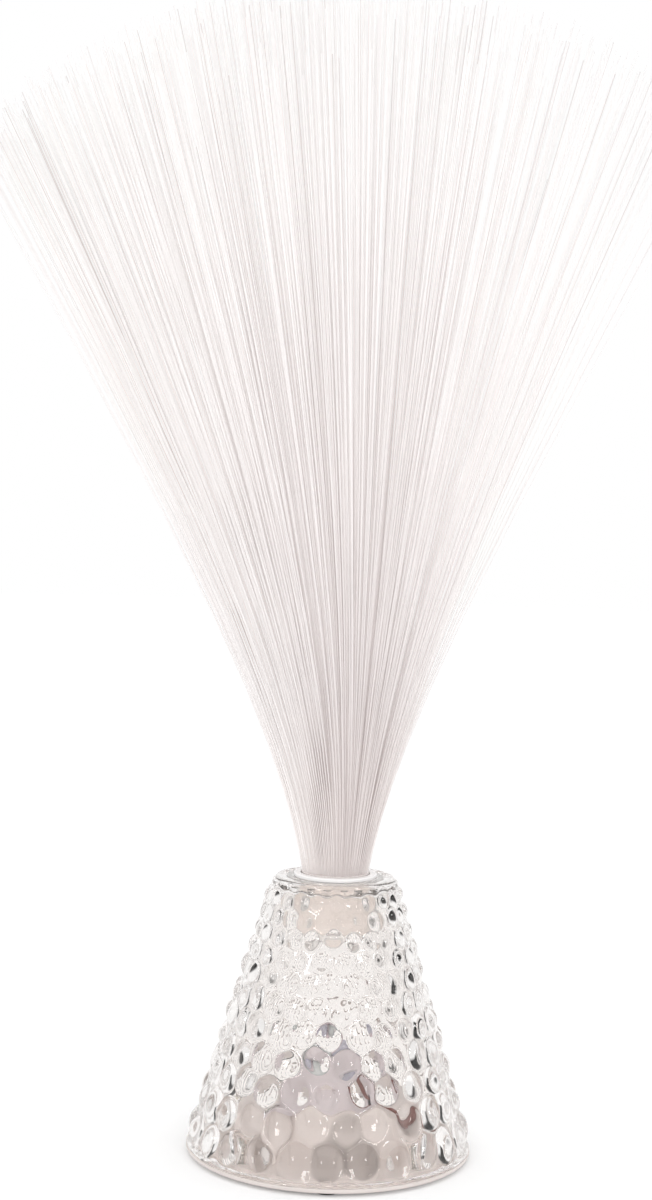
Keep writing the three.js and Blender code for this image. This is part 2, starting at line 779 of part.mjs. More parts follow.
// Light pod: a hollow cone on the bay's roof, screwed to the two stands.
function lightPod() {
  const outer = turned(
    [
      [0, roofTop],
      [podBaseRadius, roofTop],
      [podTopRadius, podTop],
      [0, podTop],
    ],
    fineFacets,
  );
  const [[x0, y0], [x1, y1]] = podScrewAt;
  const ears = podScrewAt.map((at) => rod(earRadius, roofTop, roofTop + earThickness, at));
  const bar = slab(Math.hypot(x1 - x0, y1 - y0), 2 * earRadius, roofTop, roofTop + earThickness).rotateZ(
    Math.atan2(y1 - y0, x1 - x0),
  );
  const hollow = turned(
    [
      [0, roofTop - overrun],
      [podRadiusAt(roofTop - overrun) - podWall, roofTop - overrun],
      [podRadiusAt(deckBottom) - podWall, deckBottom],
      [0, deckBottom],
    ],
    fineFacets,
  );
  const posts = boardScrewAngles.map((angle) =>
    rod(postRadius, boardTop, deckBottom + podWall / 2, onCircle(boardScrewCircle, angle)),
  );
  const shell = cut(joined(outer, bar, ...ears), hollow).add(joined(...posts));
  const ledHoles = ledAngles.map((angle) =>
    rod(ledRadius + tapGap, deckBottom - overrun, podTop + overrun, onCircle(ledCircle, angle)),
  );
  const boardPilots = boardScrewAngles.map((angle) =>
    rod(
      boardScrew.shank + tapGap,
      boardTop - overrun,
      boardBottom + boardScrew.length + tapGap,
      onCircle(boardScrewCircle, angle),
    ),
  );
  const earHoles = podScrewAt.map((at) =>
    rod(podScrew.shank + tapGap, roofTop - overrun, roofTop + earThickness + overrun, at),
  );
  const wireHoles = [redWireAngle, Math.PI / 2].map((angle) =>
    new THREE.CylinderGeometry(wireHoleRadius, wireHoleRadius, podBaseRadius, smallFacets)
      .rotateZ(Math.PI / 2)
      .translate(podBaseRadius, 0, wireEntry)
      .rotateZ(angle),
  );
  return geometryOf(cut(shell, ...ledHoles, ...boardPilots, ...earHoles, ...wireHoles));
}
const wireEntry = boardBottom - chipHeight - wireHoleRadius;

function ledLegs(angle) {
  const [x, y] = onCircle(ledCircle, angle);
  return [-legSpacing / 2, legSpacing / 2].map((offset) => [
    x - offset * Math.sin(angle),
    y + offset * Math.cos(angle),
  ]);
}

function lightBoard() {
  const disc = rod(boardRadius, boardBottom, boardTop, [0, 0], fineFacets);
  const legHole = legWidth + 2 * legHoleGap;
  const legHoles = ledAngles
    .flatMap(ledLegs)
    .map(([x, y]) => slab(legHole, legHole, boardBottom - overrun, boardTop + overrun, x, y));
  const screwHoles = boardScrewAngles.map((angle) =>
    rod(
      boardScrew.shank + tapGap,
      boardBottom - overrun,
      boardTop + overrun,
      onCircle(boardScrewCircle, angle),
    ),
  );
  return geometryOf(cut(solid(disc), ...legHoles, ...screwHoles));
}

function led(angle) {
  const [x, y] = onCircle(ledCircle, angle);
  const domeFoot = boardTop + ledHeight - ledRadius;
  const dome = [1, 2].map((i) => [
    ledRadius * Math.cos((i * Math.PI) / 6),
    domeFoot + ledRadius * Math.sin((i * Math.PI) / 6),
  ]);
  const lens = turned(
    [
      [0, boardTop],
      [ledFlangeRadius, boardTop],
      [ledFlangeRadius, boardTop + ledFlangeHeight],
      [ledRadius, boardTop + ledFlangeHeight],
      [ledRadius, domeFoot],
      ...dome,
      [0, boardTop + ledHeight],
    ],
    smallFacets,
  ).translate(x, y, 0);
  const legs = ledLegs(angle).map(([legX, legY]) =>
    slab(legWidth, legWidth, boardBottom - legReach, boardTop + ledFlangeHeight / 2, legX, legY),
  );
  return geometryOf(joined(lens, ...legs));
}

function controlChip() {
  return turned(
    [
      [0, boardBottom - chipHeight],
      [chipRadius / 2, boardBottom - chipHeight],
      [chipRadius, boardBottom - chipHeight / 3],
      [chipRadius, boardBottom],
      [0, boardBottom],
    ],
    smallFacets,
  );
}

// Wires: each runs on one smooth curve from its solder tail or pin to where it goes.
function wire(points) {
  const curve = new THREE.CatmullRomCurve3(points.map((p) => new THREE.Vector3(...p)));
  const section = Array.from(
    { length: wireSides },
    (_, i) => new THREE.Vector2(...onCircle(wireRadius, (turn * i) / wireSides)),
  );
  return new THREE.ExtrudeGeometry(new THREE.Shape(section), { steps: wireSteps, extrudePath: curve });
}

const tailEnd = bayOuterLength / 2 + tailReach + fitGap;
const tailZ = roofUnder - tailDrop + contactThickness / 2;
const wireDiameter = 2 * wireRadius;
const pinEnd = switchTop + pinHeight + fitGap;
const padCircle = boardRadius - 2 * wireRadius;

// The way round a corner of the bay, midway between it and the crystal wall.
function cornerPoint(endSide, rowSide, z) {
  const corner = Math.hypot(bayOuterLength, bayOuterWidth) / 2;
  const angle = Math.atan2(rowSide * bayOuterWidth, endSide * bayOuterLength);
  return [...onCircle((corner + innerRadiusAt(z)) / 2, angle), z];
}

// From a solder tail, out and along the end wall of the bay to its corner.
function tailPoints(endSide, rowSide) {
  const y = rowSide * cellPitch;
  const wallGap = (bayOuterLength / 2 + Math.sqrt(innerRadiusAt(roofUnder) ** 2 - y ** 2)) / 2;
  return [
    [endSide * tailEnd, y, tailZ],
    [endSide * (tailEnd + wireDiameter), y + rowSide * wireRadius, tailZ],
    [endSide * wallGap, y + rowSide * cellRadius / 2, tailZ + wireRadius],
    cornerPoint(endSide, rowSide, roofUnder),
  ];
}

// From outside the pod, in through its wire hole and up to a pad under the board.
function podPoints(angle) {
  return [
    [...onCircle(podRadiusAt(wireEntry) + 2 * wireHoleRadius, angle), wireEntry - wireRadius],
    [...onCircle(padCircle + wireHoleRadius, angle), wireEntry - wireRadius / 2],
    [...onCircle(padCircle, angle), boardBottom - fitGap - wireDiameter],
    [...onCircle(padCircle, angle), boardBottom - fitGap],
  ];
}

const redWirePoints = [
  ...tailPoints(1, -1),
  [...onCircle((innerRadiusAt(roofTop) + podBaseRadius) / 2, redWireAngle), roofTop + 2 * wireDiameter],
  ...podPoints(redWireAngle),
];
const blackWirePoints = [
  ...tailPoints(-1, 1),
  [-podScrewX, switchY - wireDiameter, roofUnder],
  [-pinSpacing - switchLength / 2, switchY, roofUnder - wireRadius],
  [-pinSpacing, switchY, pinEnd + wireDiameter],
  [-pinSpacing, switchY, pinEnd],
];
const switchWirePoints = [
  [0, switchY, pinEnd],
  [0, switchY, pinEnd + wireDiameter],
  [0, bayOuterWidth / 2 + wireDiameter, roofTop + wireDiameter],
  ...podPoints(Math.PI / 2),
];

// Finishes
const finish = (color, roughness, metalness = 0, opacity = 1) =>
  new THREE.MeshStandardMaterial({ color, roughness, metalness, opacity, transparent: opacity < 1 });
const clearPlastic = finish(0xf1f3f5, 0.05, 0, 0.35);
const fibrePlastic = finish(0xefe9e8, 0.25, 0, 0.8);
const ferruleTint = finish(0xe9dcd6, 0.4);
const whitePlastic = finish(0xe9e6e2, 0.45);
const doorPlastic = finish(0xe4e1dd, 0.5);
const darkRubber = finish(0x2b2b2c, 0.8);
const steel = finish(0xb9bcc0, 0.3, 1);
const nickel = finish(0xcfc9bb, 0.25, 1);
const cellJacket = finish(0x5b6a72, 0.35);
const boardGreen = finish(0x3f7a52, 0.5);
const chipBlack = finish(0x151515, 0.35);
const switchBlack = finish(0x232323, 0.45);
const ledTints = [finish(0xe8b4ae, 0.1), finish(0xb5dcb8, 0.1), finish(0xb2c2e8, 0.1)];
const redSleeve = finish(0xa83a32, 0.45);
const blackSleeve = finish(0x1d1d1f, 0.45);
const whiteSleeve = finish(0xd9d6cf, 0.45);

const lamp = new THREE.Group();

function add(name, geometry, material, at = [0, 0, 0]) {
  const mesh = new THREE.Mesh(geometry, material);
  mesh.name = name;
  mesh.position.set(...at);
  lamp.add(mesh);
  return mesh;
}

add("crystal_base", crystalBase(), clearPlastic);
add("socket_cup", socketCup(), clearPlastic);
add("ferrule", ferrule(), ferruleTint);
add("fibre_bundle", fibreBundle(), fibrePlastic);
add("bottom_cover", bottomCover(), whitePlastic);
add("battery_door", batteryDoor(), doorPlastic);
footAngles.forEach((angle, i) => {
  add(`rubber_foot_${i + 1}`, rubberFoot(onCircle(footCircle, angle)), darkRubber);
});
bossAngles.forEach((angle, i) => {
  const flipped = screw(coverScrew).rotateX(Math.PI);
  add(`cover_screw_${i + 1}`, flipped, steel, [...onCircle(bossCircle, angle), coverHeadSeat]);
});
cellRows.forEach(({ y, facing }, i) => {
  const shape = facing > 0 ? cell() : cell().rotateZ(Math.PI);
  add(`cell_${i + 1}`, shape, cellJacket, [facing * cellShift, y, cellAxis]);
});
add("contact_plus", contactPlate(1, [-cellPitch], [-cellPitch], true), nickel);
add("contact_minus", contactPlate(-1, [cellPitch], [], true), nickel);
add("contact_link_left", contactPlate(-1, [-cellPitch, 0], [0], false), nickel);
add("contact_link_right", contactPlate(1, [0, cellPitch], [cellPitch], false), nickel);
cellRows.forEach(({ y, facing }, i) => {
  const path = springPath(-facing, y);
  add(`cell_spring_${i + 1}`, tube(path, springWireRadius, 5), nickel);
  console.log(`cell_spring_${i + 1} least gap ${leastGap(path, springWireRadius, 8).toFixed(2)} mm`);
});
add("switch_body", switchBody(), steel);
add("switch_slider", switchSlider(), switchBlack);
add("light_pod", lightPod(), whitePlastic);
podScrewAt.forEach(([x, y], i) => {
  add(`pod_screw_${i + 1}`, screw(podScrew, false), steel, [x, y, roofTop + earThickness]);
});
add("light_board", lightBoard(), boardGreen);
["red", "green", "blue"].forEach((tint, i) => {
  add(`led_${tint}`, led(ledAngles[i]), ledTints[i]);
});
add("control_chip", controlChip(), chipBlack);
boardScrewAngles.forEach((angle, i) => {
  const flipped = screw(boardScrew, false).rotateX(Math.PI);
  add(`board_screw_${i + 1}`, flipped, steel, [...onCircle(boardScrewCircle, angle), boardBottom]);
});
add("red_wire", wire(redWirePoints), redSleeve);
add("black_wire", wire(blackWirePoints), blackSleeve);
add("switch_wire", wire(switchWirePoints), whiteSleeve);

export default lamp;
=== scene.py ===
import math

import bmesh
import bpy
import numpy as np
from mathutils import Matrix, Quaternion, Vector


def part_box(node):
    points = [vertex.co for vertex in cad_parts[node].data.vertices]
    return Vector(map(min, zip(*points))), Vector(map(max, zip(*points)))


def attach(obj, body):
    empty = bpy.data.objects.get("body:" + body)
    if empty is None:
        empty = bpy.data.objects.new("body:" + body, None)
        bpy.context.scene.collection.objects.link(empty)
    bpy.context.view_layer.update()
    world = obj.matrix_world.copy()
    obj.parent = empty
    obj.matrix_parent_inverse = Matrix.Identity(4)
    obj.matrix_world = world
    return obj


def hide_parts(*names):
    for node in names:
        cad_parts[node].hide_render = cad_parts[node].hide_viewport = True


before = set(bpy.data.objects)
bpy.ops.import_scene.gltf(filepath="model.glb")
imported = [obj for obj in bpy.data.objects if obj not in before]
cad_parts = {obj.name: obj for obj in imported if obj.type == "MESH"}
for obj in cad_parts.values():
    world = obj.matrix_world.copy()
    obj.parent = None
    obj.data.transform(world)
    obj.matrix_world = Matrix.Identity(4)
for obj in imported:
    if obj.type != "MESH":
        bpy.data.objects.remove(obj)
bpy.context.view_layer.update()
MM = 0.001

# Viewpoint: at a little over half the lamp's height, just over half a metre away, and turned
# slightly on the lens's axis, so that the lamp leans to the right in the picture.
view_distance = 553 * MM
view_height = 181.3 * MM
view_down = math.radians(2.243)
view_left = math.radians(0.51)
view_roll = math.radians(1.608)
view_lens = 57.7
view_near = 10 * MM
camera = bpy.data.objects.new("camera", bpy.data.cameras.new("camera"))
camera.data.lens = view_lens
camera.data.clip_start = view_near
camera.location = (0, -view_distance, view_height)
aim = Vector((-math.tan(view_left), 1, -math.tan(view_down)))
camera.rotation_mode = "QUATERNION"
camera.rotation_quaternion = aim.to_track_quat("-Z", "Y") @ Quaternion((0, 0, 1), view_roll)
bpy.context.scene.collection.objects.link(camera)
bpy.context.scene.camera = camera
bpy.context.scene.view_settings.view_transform = "Standard"

# Table and light: a seamless white sweep in a white tent, with a soft window on either side of
# the view. The clear plastic bends light many times over, so light is followed a long way, and
# the tent's two dark seams show in it as small dark strokes.
floor_reach = 4.0
floor_white = (0.86, 0.86, 0.86, 1)
floor_roughness = 0.9
floor_glow = 0.16
room_light = 1.0
room_front, front_from, front_to = 0.62, -0.9, -0.2
seam_shades = ((0.0, 0.9), (0.065, 0.95), (0.085, 0.03), (0.13, 0.03), (0.16, 1.0), (0.81, 1.0), (0.84, 0.01),
               (0.925, 0.01), (0.95, 0.95), (1.0, 0.88))
window_distance = 0.85
window_height = 0.42
window_turns = (-38, 44)
window_size = (0.11, 0.20)
window_power = 1.0
window_aim = Vector((0, 0, 0.12))
light_bends = 32
light_mirrorings = 24


def new_material(name):
    """A material, its Principled shader, and a function that adds a node and sets its inputs."""
    material = bpy.data.materials.new(name)
    material.use_nodes = True
    return material, material.node_tree.nodes["Principled BSDF"], node_maker(material.node_tree)


def node_maker(tree):
    """A function that adds a node to a tree and sets its inputs, or links them."""
    def node(kind, inputs=None, **settings):
        made = tree.nodes.new("ShaderNode" + kind)
        for key, value in settings.items():
            setattr(made, key, value)
        for key, value in (inputs or {}).items():
            if isinstance(value, bpy.types.NodeSocket):
                tree.links.new(value, made.inputs[key])
            else:
                made.inputs[key].default_value = value
        return made

    return node


def shade_ramp(node, factor, shades):
    """A colour ramp through the shades, each a position with a grey level or a colour."""
    ramp = node("ValToRGB", {0: factor})
    stops = ramp.color_ramp.elements
    while len(stops) < len(shades):
        stops.new(1.0)
    for stop, (position, shade) in zip(stops, shades):
        stop.position = position
        stop.color = (shade, shade, shade, 1) if isinstance(shade, float) else (*shade, 1)
    return ramp.outputs["Color"]


floor_material, floor_shader, node = new_material("white_sweep")
floor_shader.inputs["Base Color"].default_value = floor_white
floor_shader.inputs["Roughness"].default_value = floor_roughness
floor_shader.inputs["Specular IOR Level"].default_value = 0.0
floor_shader.inputs["Emission Color"].default_value = (1, 1, 1, 1)
paths = node("LightPath").outputs
bent = node("Math", {0: paths["Is Glossy Ray"], 1: paths["Is Transmission Ray"]}, operation="MAXIMUM")
seen = node("Math", {0: paths["Is Camera Ray"], 1: bent.outputs[0]}, operation="MAXIMUM")
glow = node("Math", {0: seen.outputs[0], 1: floor_glow}, operation="MULTIPLY")
floor_material.node_tree.links.new(glow.outputs[0], floor_shader.inputs["Emission Strength"])
floor_mesh = bpy.data.meshes.new("floor")
floor_corners = [(x * floor_reach, y * floor_reach, 0) for x, y in ((-1, -1), (1, -1), (1, 1), (-1, 1))]
floor_mesh.from_pydata(floor_corners, [], [(0, 1, 2, 3)])
floor_mesh.materials.append(floor_material)
floor = bpy.data.objects.new("floor", floor_mesh)
bpy.context.scene.collection.objects.link(floor)

world = bpy.data.worlds.new("tent")
bpy.context.scene.world = world
world.use_nodes = True
world.node_tree.nodes.clear()
node = node_maker(world.node_tree)
paths = node("LightPath").outputs
bent = node("Math", {0: paths["Is Glossy Ray"], 1: paths["Is Transmission Ray"]}, operation="MAXIMUM")
direction = node("SeparateXYZ", {0: node("TexCoord").outputs["Generated"]}).outputs
sideways = node("MapRange", {"Value": direction["X"], "From Min": -1.0, "From Max": 1.0})
seams = shade_ramp(node, sideways.outputs[0], seam_shades)
front = node("MapRange", {"Value": direction["Y"], "From Min": front_from, "From Max": front_to,
                          "To Min": room_front})
tent = node("Mix", {"Factor": 1.0, "A": seams, "B": front.outputs[0]},
            data_type="RGBA", blend_type="MULTIPLY")
tent_light = node("Background", {"Color": tent.outputs["Result"]}).outputs[0]
plain_light = node("Background", {"Color": (1, 1, 1, 1), "Strength": room_light}).outputs[0]
white = node("Background", {"Color": (1, 1, 1, 1)}).outputs[0]
around_lamp = node("MixShader", {0: bent.outputs[0], 1: plain_light, 2: tent_light}).outputs[0]
shown = node("MixShader", {0: paths["Is Camera Ray"], 1: around_lamp, 2: white}).outputs[0]
node("OutputWorld", {"Surface": shown})

for side, turned in zip(("left", "right"), window_turns):
    window = bpy.data.lights.new("window_" + side, "AREA")
    window.shape = "RECTANGLE"
    window.size, window.size_y = window_size
    window.energy = window_power
    holder = bpy.data.objects.new("window_" + side, window)
    angle = math.radians(turned)
    holder.location = (window_distance * math.sin(angle), -window_distance * math.cos(angle), window_height)
    holder.rotation_mode = "QUATERNION"
    holder.rotation_quaternion = (window_aim - holder.location).to_track_quat("-Z", "Y")
    bpy.context.scene.collection.objects.link(holder)
bpy.context.scene.cycles.max_bounces = light_bends
bpy.context.scene.cycles.transmission_bounces = light_bends
bpy.context.scene.cycles.glossy_bounces = light_mirrorings

# Bottom cover: one off-white ABS moulding with the cell bay and the stands for the lights on it,
# screwed to the base from below. It has the fine skin of its mould, and a grey patch of painted
# shade inside, before the bay.
cover_edge = 0.15 * MM
cover_colour = (0.77, 0.70, 0.67)
weld_share = 20
flat_angle, smooth_angle = 1, 40
cloud_scale, grain_scale = 55.0, 1900.0
grain_depth = 0.2 * MM
cloud_dark, cloud_light = 0.3, 0.7
gloss_less, gloss_more = 0.06, 0.08
# A grey patch of painted shade inside the cover, before the bay: its colour, middle, reach and height.
painted_shade_colour = (0.38, 0.335, 0.315)
painted_shade_place = (5.0 * MM, -21.5 * MM, 5.5 * MM)
painted_shade_inner, painted_shade_outer = 3.0 * MM, 11.0 * MM
painted_shade_low, painted_shade_high = 1.5 * MM, 2.1 * MM


def new_piece(name, mesh, material, body):
    """An object that rides on a body, with the material it is given."""
    piece = bpy.data.objects.new(name, mesh)
    bpy.context.scene.collection.objects.link(piece)
    mesh.materials.clear()
    mesh.materials.append(material)
    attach(piece, body)
    return piece


def moulded(name, node_name, edge, sharp=35):
    """A copy of a solid with its edges rounded off, as they leave the mould or the press."""
    work = bmesh.new()
    work.from_mesh(bpy.data.objects[node_name].data)
    bmesh.ops.remove_doubles(work, verts=work.verts, dist=edge / weld_share)
    bmesh.ops.dissolve_limit(work, angle_limit=math.radians(flat_angle), verts=work.verts, edges=work.edges)
    keen = [e for e in work.edges if len(e.link_faces) == 2 and e.calc_face_angle() > math.radians(sharp)]
    bmesh.ops.bevel(work, geom=keen, offset=edge, segments=2, profile=0.5, affect="EDGES", clamp_overlap=True)
    bmesh.ops.triangulate(work, faces=[f for f in work.faces if len(f.verts) > 4])
    mesh = bpy.data.meshes.new(name)
    work.to_mesh(mesh)
    work.free()
    mesh.shade_smooth()
    mesh.set_sharp_from_angle(angle=math.radians(sharp))
    return mesh


def moulded_plastic(name, colour, roughness=0.42, skin=0.06, mottle=0.03, painted_shade=None):
    """Opaque plastic: slightly uneven colour, a fine skin, and a grey patch of painted shade if asked."""
    material, shader, node = new_material(name)
    place = node("TexCoord").outputs["Object"]
    clouds = node("TexNoise", {"Vector": place, "Scale": cloud_scale, "Detail": 4.0}).outputs["Fac"]
    grain = node("TexNoise", {"Vector": place, "Scale": grain_scale, "Detail": 2.0}).outputs["Fac"]
    dark = tuple(c * (1 - 2 * mottle) for c in colour)
    light = tuple(min(1, c * (1 + mottle)) for c in colour)
    tone = shade_ramp(node, clouds, ((cloud_dark, dark), (cloud_light, light)))
    # The patch of painted shade: grey, round a place inside, and only above a height.
    if painted_shade:
        away = node("VectorMath", {0: place, 1: painted_shade_place}, operation="DISTANCE").outputs["Value"]
        near = node("MapRange", {"Value": away, "From Min": painted_shade_outer, "From Max": painted_shade_inner})
        height = node("SeparateXYZ", {0: place}).outputs["Z"]
        above = node("MapRange", {"Value": height, "From Min": painted_shade_low, "From Max": painted_shade_high})
        painted_shade_mask = node("Math", {0: near.outputs[0], 1: above.outputs[0]}, operation="MULTIPLY")
        mixed = node("Mix", {"Factor": painted_shade_mask.outputs[0], "A": tone, "B": (*painted_shade, 1)}, data_type="RGBA")
        tone = mixed.outputs["Result"]
    gloss = node("MapRange", {"Value": clouds, "To Min": roughness - gloss_less,
                              "To Max": roughness + gloss_more})
    bump = node("Bump", {"Height": grain, "Strength": skin, "Distance": grain_depth})
    links = material.node_tree.links
    links.new(tone, shader.inputs["Base Color"])
    links.new(gloss.outputs[0], shader.inputs["Roughness"])
    links.new(bump.outputs[0], shader.inputs["Normal"])
    return material


cover_plastic = moulded_plastic("cover_plastic", cover_colour, painted_shade=painted_shade_colour)
cover_mesh = moulded("cover", "bottom_cover", cover_edge)
cover = new_piece("cover", cover_mesh, cover_plastic, "base")
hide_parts("bottom_cover")

# Contact plates and springs: stamped and wound from nickel-plated steel, pushed into slots in the
# ends of the bay before the cells go in. The plating is finely brushed and a little dulled.
plate_edge = 0.05 * MM
nickel_colour = (0.78, 0.73, 0.64)
brushing_scale, brushing_dark = 700.0, 0.85
brushing_low, brushing_high = 0.2, 0.8
polish_less, polish_more = 0.1, 0.14
wire_weld = 0.002 * MM
face_angle, shape_angle = 40, 70


def plated_metal(name, colour, roughness=0.28):
    """Plated steel with fine brushing."""
    material, shader, node = new_material(name)
    place = node("TexCoord").outputs["Object"]
    streaks = node("TexNoise", {"Vector": place, "Scale": brushing_scale, "Detail": 3.0}).outputs["Fac"]
    dark = tuple(c * brushing_dark for c in colour)
    tone = shade_ramp(node, streaks, ((brushing_low, dark), (brushing_high, colour)))
    gloss = node("MapRange", {"Value": streaks, "To Min": roughness - polish_less,
                              "To Max": roughness + polish_more})
    shader.inputs["Metallic"].default_value = 1.0
    links = material.node_tree.links
    links.new(tone, shader.inputs["Base Color"])
    links.new(gloss.outputs[0], shader.inputs["Roughness"])
    return material


def rounded(name, node_name, levels=2):
    """A copy of a wire's faceted solid, smoothed into a round one."""
    work = bmesh.new()
    work.from_mesh(bpy.data.objects[node_name].data)
    bmesh.ops.remove_doubles(work, verts=work.verts, dist=wire_weld)
    bmesh.ops.join_triangles(work, faces=work.faces, angle_face_threshold=math.radians(face_angle),
                             angle_shape_threshold=math.radians(shape_angle))
    rough = bpy.data.meshes.new(name + "_rough")
    work.to_mesh(rough)
    work.free()
    holder = bpy.data.objects.new(name + "_rough", rough)
    bpy.context.scene.collection.objects.link(holder)
    smoothing = holder.modifiers.new("smoothing", "SUBSURF")
    smoothing.levels = levels
    mesh = bpy.data.meshes.new_from_object(holder.evaluated_get(bpy.context.evaluated_depsgraph_get()))
    bpy.data.objects.remove(holder)
    bpy.data.meshes.remove(rough)
    mesh.name = name
    mesh.shade_smooth()
    return mesh


nickel = plated_metal("nickel_plate", nickel_colour)
for end in ("plus", "minus", "link_left", "link_right"):
    mesh = moulded(f"{end}_plate", f"contact_{end}", plate_edge)
    plate = new_piece(f"{end}_plate", mesh, nickel, "base")
    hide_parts(f"contact_{end}")
for number in (1, 2, 3):
    mesh = rounded(f"spring_{number}", f"cell_spring_{number}")
    spring = new_piece(f"spring_{number}", mesh, nickel, "base")
    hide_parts(f"cell_spring_{number}")

# Cells: three of the small 44.5 mm size, side by side with the middle one turned round. Each is a
# steel can in a printed sleeve, dark with a paler band at its plus end, with bare crimped ends.
cell_around = 64
sleeve_edge = 0.35 * MM
can_step = 0.12 * MM
crimp_depth, crimp_shares = 0.25 * MM, (0.7, 0.8, 0.94)
shoulder_depth, shoulder_shares = 0.3 * MM, (0.92, 0.84)
sleeve_slope = 1.4
nub_share, nub_rise, nub_round, nub_root = 0.36, 0.8 * MM, 0.15 * MM, 0.1 * MM
nub_base_share, nub_top_share = 1.25, 0.85
axis_hole = 0.05 * MM
scuff_scale, sleeve_gloss = 260.0, (0.18, 0.42)
bare_shades = ((0.0, 1.0), (0.012, 0.0), (0.966, 0.0), (0.970, 1.0))
sleeve_shades = ((0.0, (0.62, 0.62, 0.60)), (0.012, (0.05, 0.075, 0.09)), (0.80, (0.05, 0.075, 0.09)),
                 (0.805, (0.50, 0.53, 0.53)), (0.968, (0.50, 0.53, 0.53)), (0.970, (0.62, 0.62, 0.60)))


def rings_mesh(name, rings, closed=True):
    """A mesh of rings of points, each joined to the next, and the last to the first if closed."""
    count, around = len(rings), len(rings[0])
    i, j = np.meshgrid(np.arange(count if closed else count - 1), np.arange(around), indexing="ij")
    k, next_j = (i + 1) % count, (j + 1) % around
    corners = (i * around + j, i * around + next_j, k * around + next_j, k * around + j)
    faces = np.stack([c.ravel() for c in corners], axis=-1).tolist()
    if not closed:
        faces += [list(range(around))[::-1], list(range((count - 1) * around, count * around))]
    mesh = bpy.data.meshes.new(name)
    mesh.from_pydata(np.concatenate(rings).tolist(), [], faces)
    mesh.shade_smooth()
    return mesh


def ring_of(around, radius, z):
    """A level ring of points."""
    angle = np.arange(around) * 2 * math.pi / around
    return np.stack([radius * np.cos(angle), radius * np.sin(angle), np.full(around, z)], axis=-1)


def lathe(name, profile, around, closed=True, sharp=40):
    """A turned piece. Its profile of radii and heights runs up the outside and down the inside."""
    mesh = rings_mesh(name, [ring_of(around, radius, z) for radius, z in profile], closed)
    mesh.set_sharp_from_angle(angle=math.radians(sharp))
    return mesh


def box_of(node_name):
    """The lowest and highest corners of a solid, and its middle."""
    low, high = (Vector(corner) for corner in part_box(node_name))
    return low, high, (low + high) / 2


def cell_sleeve():
    """A printed sleeve, a little scuffed, with bare steel at both ends."""
    material, shader, node = new_material("cell_sleeve")
    along = node("Attribute", attribute_name="along").outputs["Fac"]
    tone = shade_ramp(node, along, sleeve_shades)
    bare = shade_ramp(node, along, bare_shades)
    place = node("TexCoord").outputs["Object"]
    scuffs = node("TexNoise", {"Vector": place, "Scale": scuff_scale, "Detail": 3.0}).outputs["Fac"]
    gloss = node("MapRange", {"Value": scuffs, "To Min": sleeve_gloss[0], "To Max": sleeve_gloss[1]})
    links = material.node_tree.links
    links.new(tone, shader.inputs["Base Color"])
    links.new(bare, shader.inputs["Metallic"])
    links.new(gloss.outputs[0], shader.inputs["Roughness"])
    return material


sleeve = cell_sleeve()
for number, facing in ((1, 1), (2, -1), (3, 1)):
    low, high, middle = box_of(f"cell_{number}")
    radius, length = (high.z - low.z) / 2, high.x - low.x
    bare, nub = radius - can_step, radius * nub_share
    shoulder = length - nub_rise
    crimp_inner, crimp_ridge, crimp_outer = (bare * share for share in crimp_shares)
    lip, groove = (bare * share for share in shoulder_shares)
    profile = [(axis_hole, crimp_depth), (crimp_inner, crimp_depth), (crimp_ridge, 0), (crimp_outer, 0),
               (bare, sleeve_edge), (radius, sleeve_edge * sleeve_slope),
               (radius, shoulder - sleeve_edge * sleeve_slope), (bare, shoulder - sleeve_edge),
               (lip, shoulder), (groove, shoulder - shoulder_depth),
               (nub * nub_base_share, shoulder - shoulder_depth), (nub, shoulder + nub_root),
               (nub, length - nub_round), (nub * nub_top_share, length), (axis_hole, length)]
    mesh = lathe(f"dry_cell_{number}", profile, cell_around, closed=False)
    along = mesh.attributes.new("along", "FLOAT", "POINT")
    along.data.foreach_set("value", np.repeat([z / length for _, z in profile], cell_around))
    mesh.transform(Matrix.Translation((-facing * length / 2 + middle.x, middle.y, middle.z))
                   @ Matrix.Rotation(facing * math.pi / 2, 4, "Y"))
    cell = new_piece(f"dry_cell_{number}", mesh, sleeve, "base")
    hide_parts(f"cell_{number}")

# Battery door: off-white ABS like the cover, moulded with two hooks at one end, which it swings
# on, and a springy tongue with grip ribs at the other.
door_edge = 0.15 * MM
door_colour = (0.76, 0.71, 0.685)
door_plastic = moulded_plastic("door_plastic", door_colour, roughness=0.48)
door = new_piece("door", moulded("door", "battery_door", door_edge), door_plastic, "door")
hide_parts("battery_door")

# Slide switch: a folded can of zinc-plated steel with three pins, held in the cover's cradle, and
# a black slider whose thumb piece is reached from below.
switch_edge = 0.12 * MM
zinc_colour, slider_colour = (0.58, 0.57, 0.545), (0.03, 0.03, 0.03)
steel = plated_metal("zinc_plate", zinc_colour, roughness=0.2)
can = new_piece("switch_can", moulded("switch_can", "switch_body", switch_edge), steel, "base")
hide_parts("switch_body")
black_plastic = moulded_plastic("slider_plastic", slider_colour, roughness=0.4)
slider = new_piece("slider", moulded("slider", "switch_slider", switch_edge), black_plastic, "switch")
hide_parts("switch_slider")

# Light pod: a pale cone of moulded styrene, faintly lilac, that stands on the bay with the lights
# in its top. It has an ear at either side for its screws.
pod_edge = 0.3 * MM
pod_colour = (0.665, 0.60, 0.615)
pod_plastic = moulded_plastic("pod_plastic", pod_colour, roughness=0.5, mottle=0.02)
pod = new_piece("pod", moulded("pod", "light_pod", pod_edge), pod_plastic, "base")
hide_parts("light_pod")

# Light board: a small round circuit board of glass fibre with a green mask over its copper
# tracks, screwed to posts under the pod's top.
board_edge = 0.05 * MM
board_low, board_high, _ = box_of("light_board")
track_scale, track_width = 420.0, 0.09
track_depth, track_relief = 0.05 * MM, 0.15
mask_green, mask_pale = (0.045, 0.17, 0.08, 1), (0.05, 0.19, 0.09, 1)
mask_over_track = (0.11, 0.32, 0.14, 1)
mask_roughness = 0.35


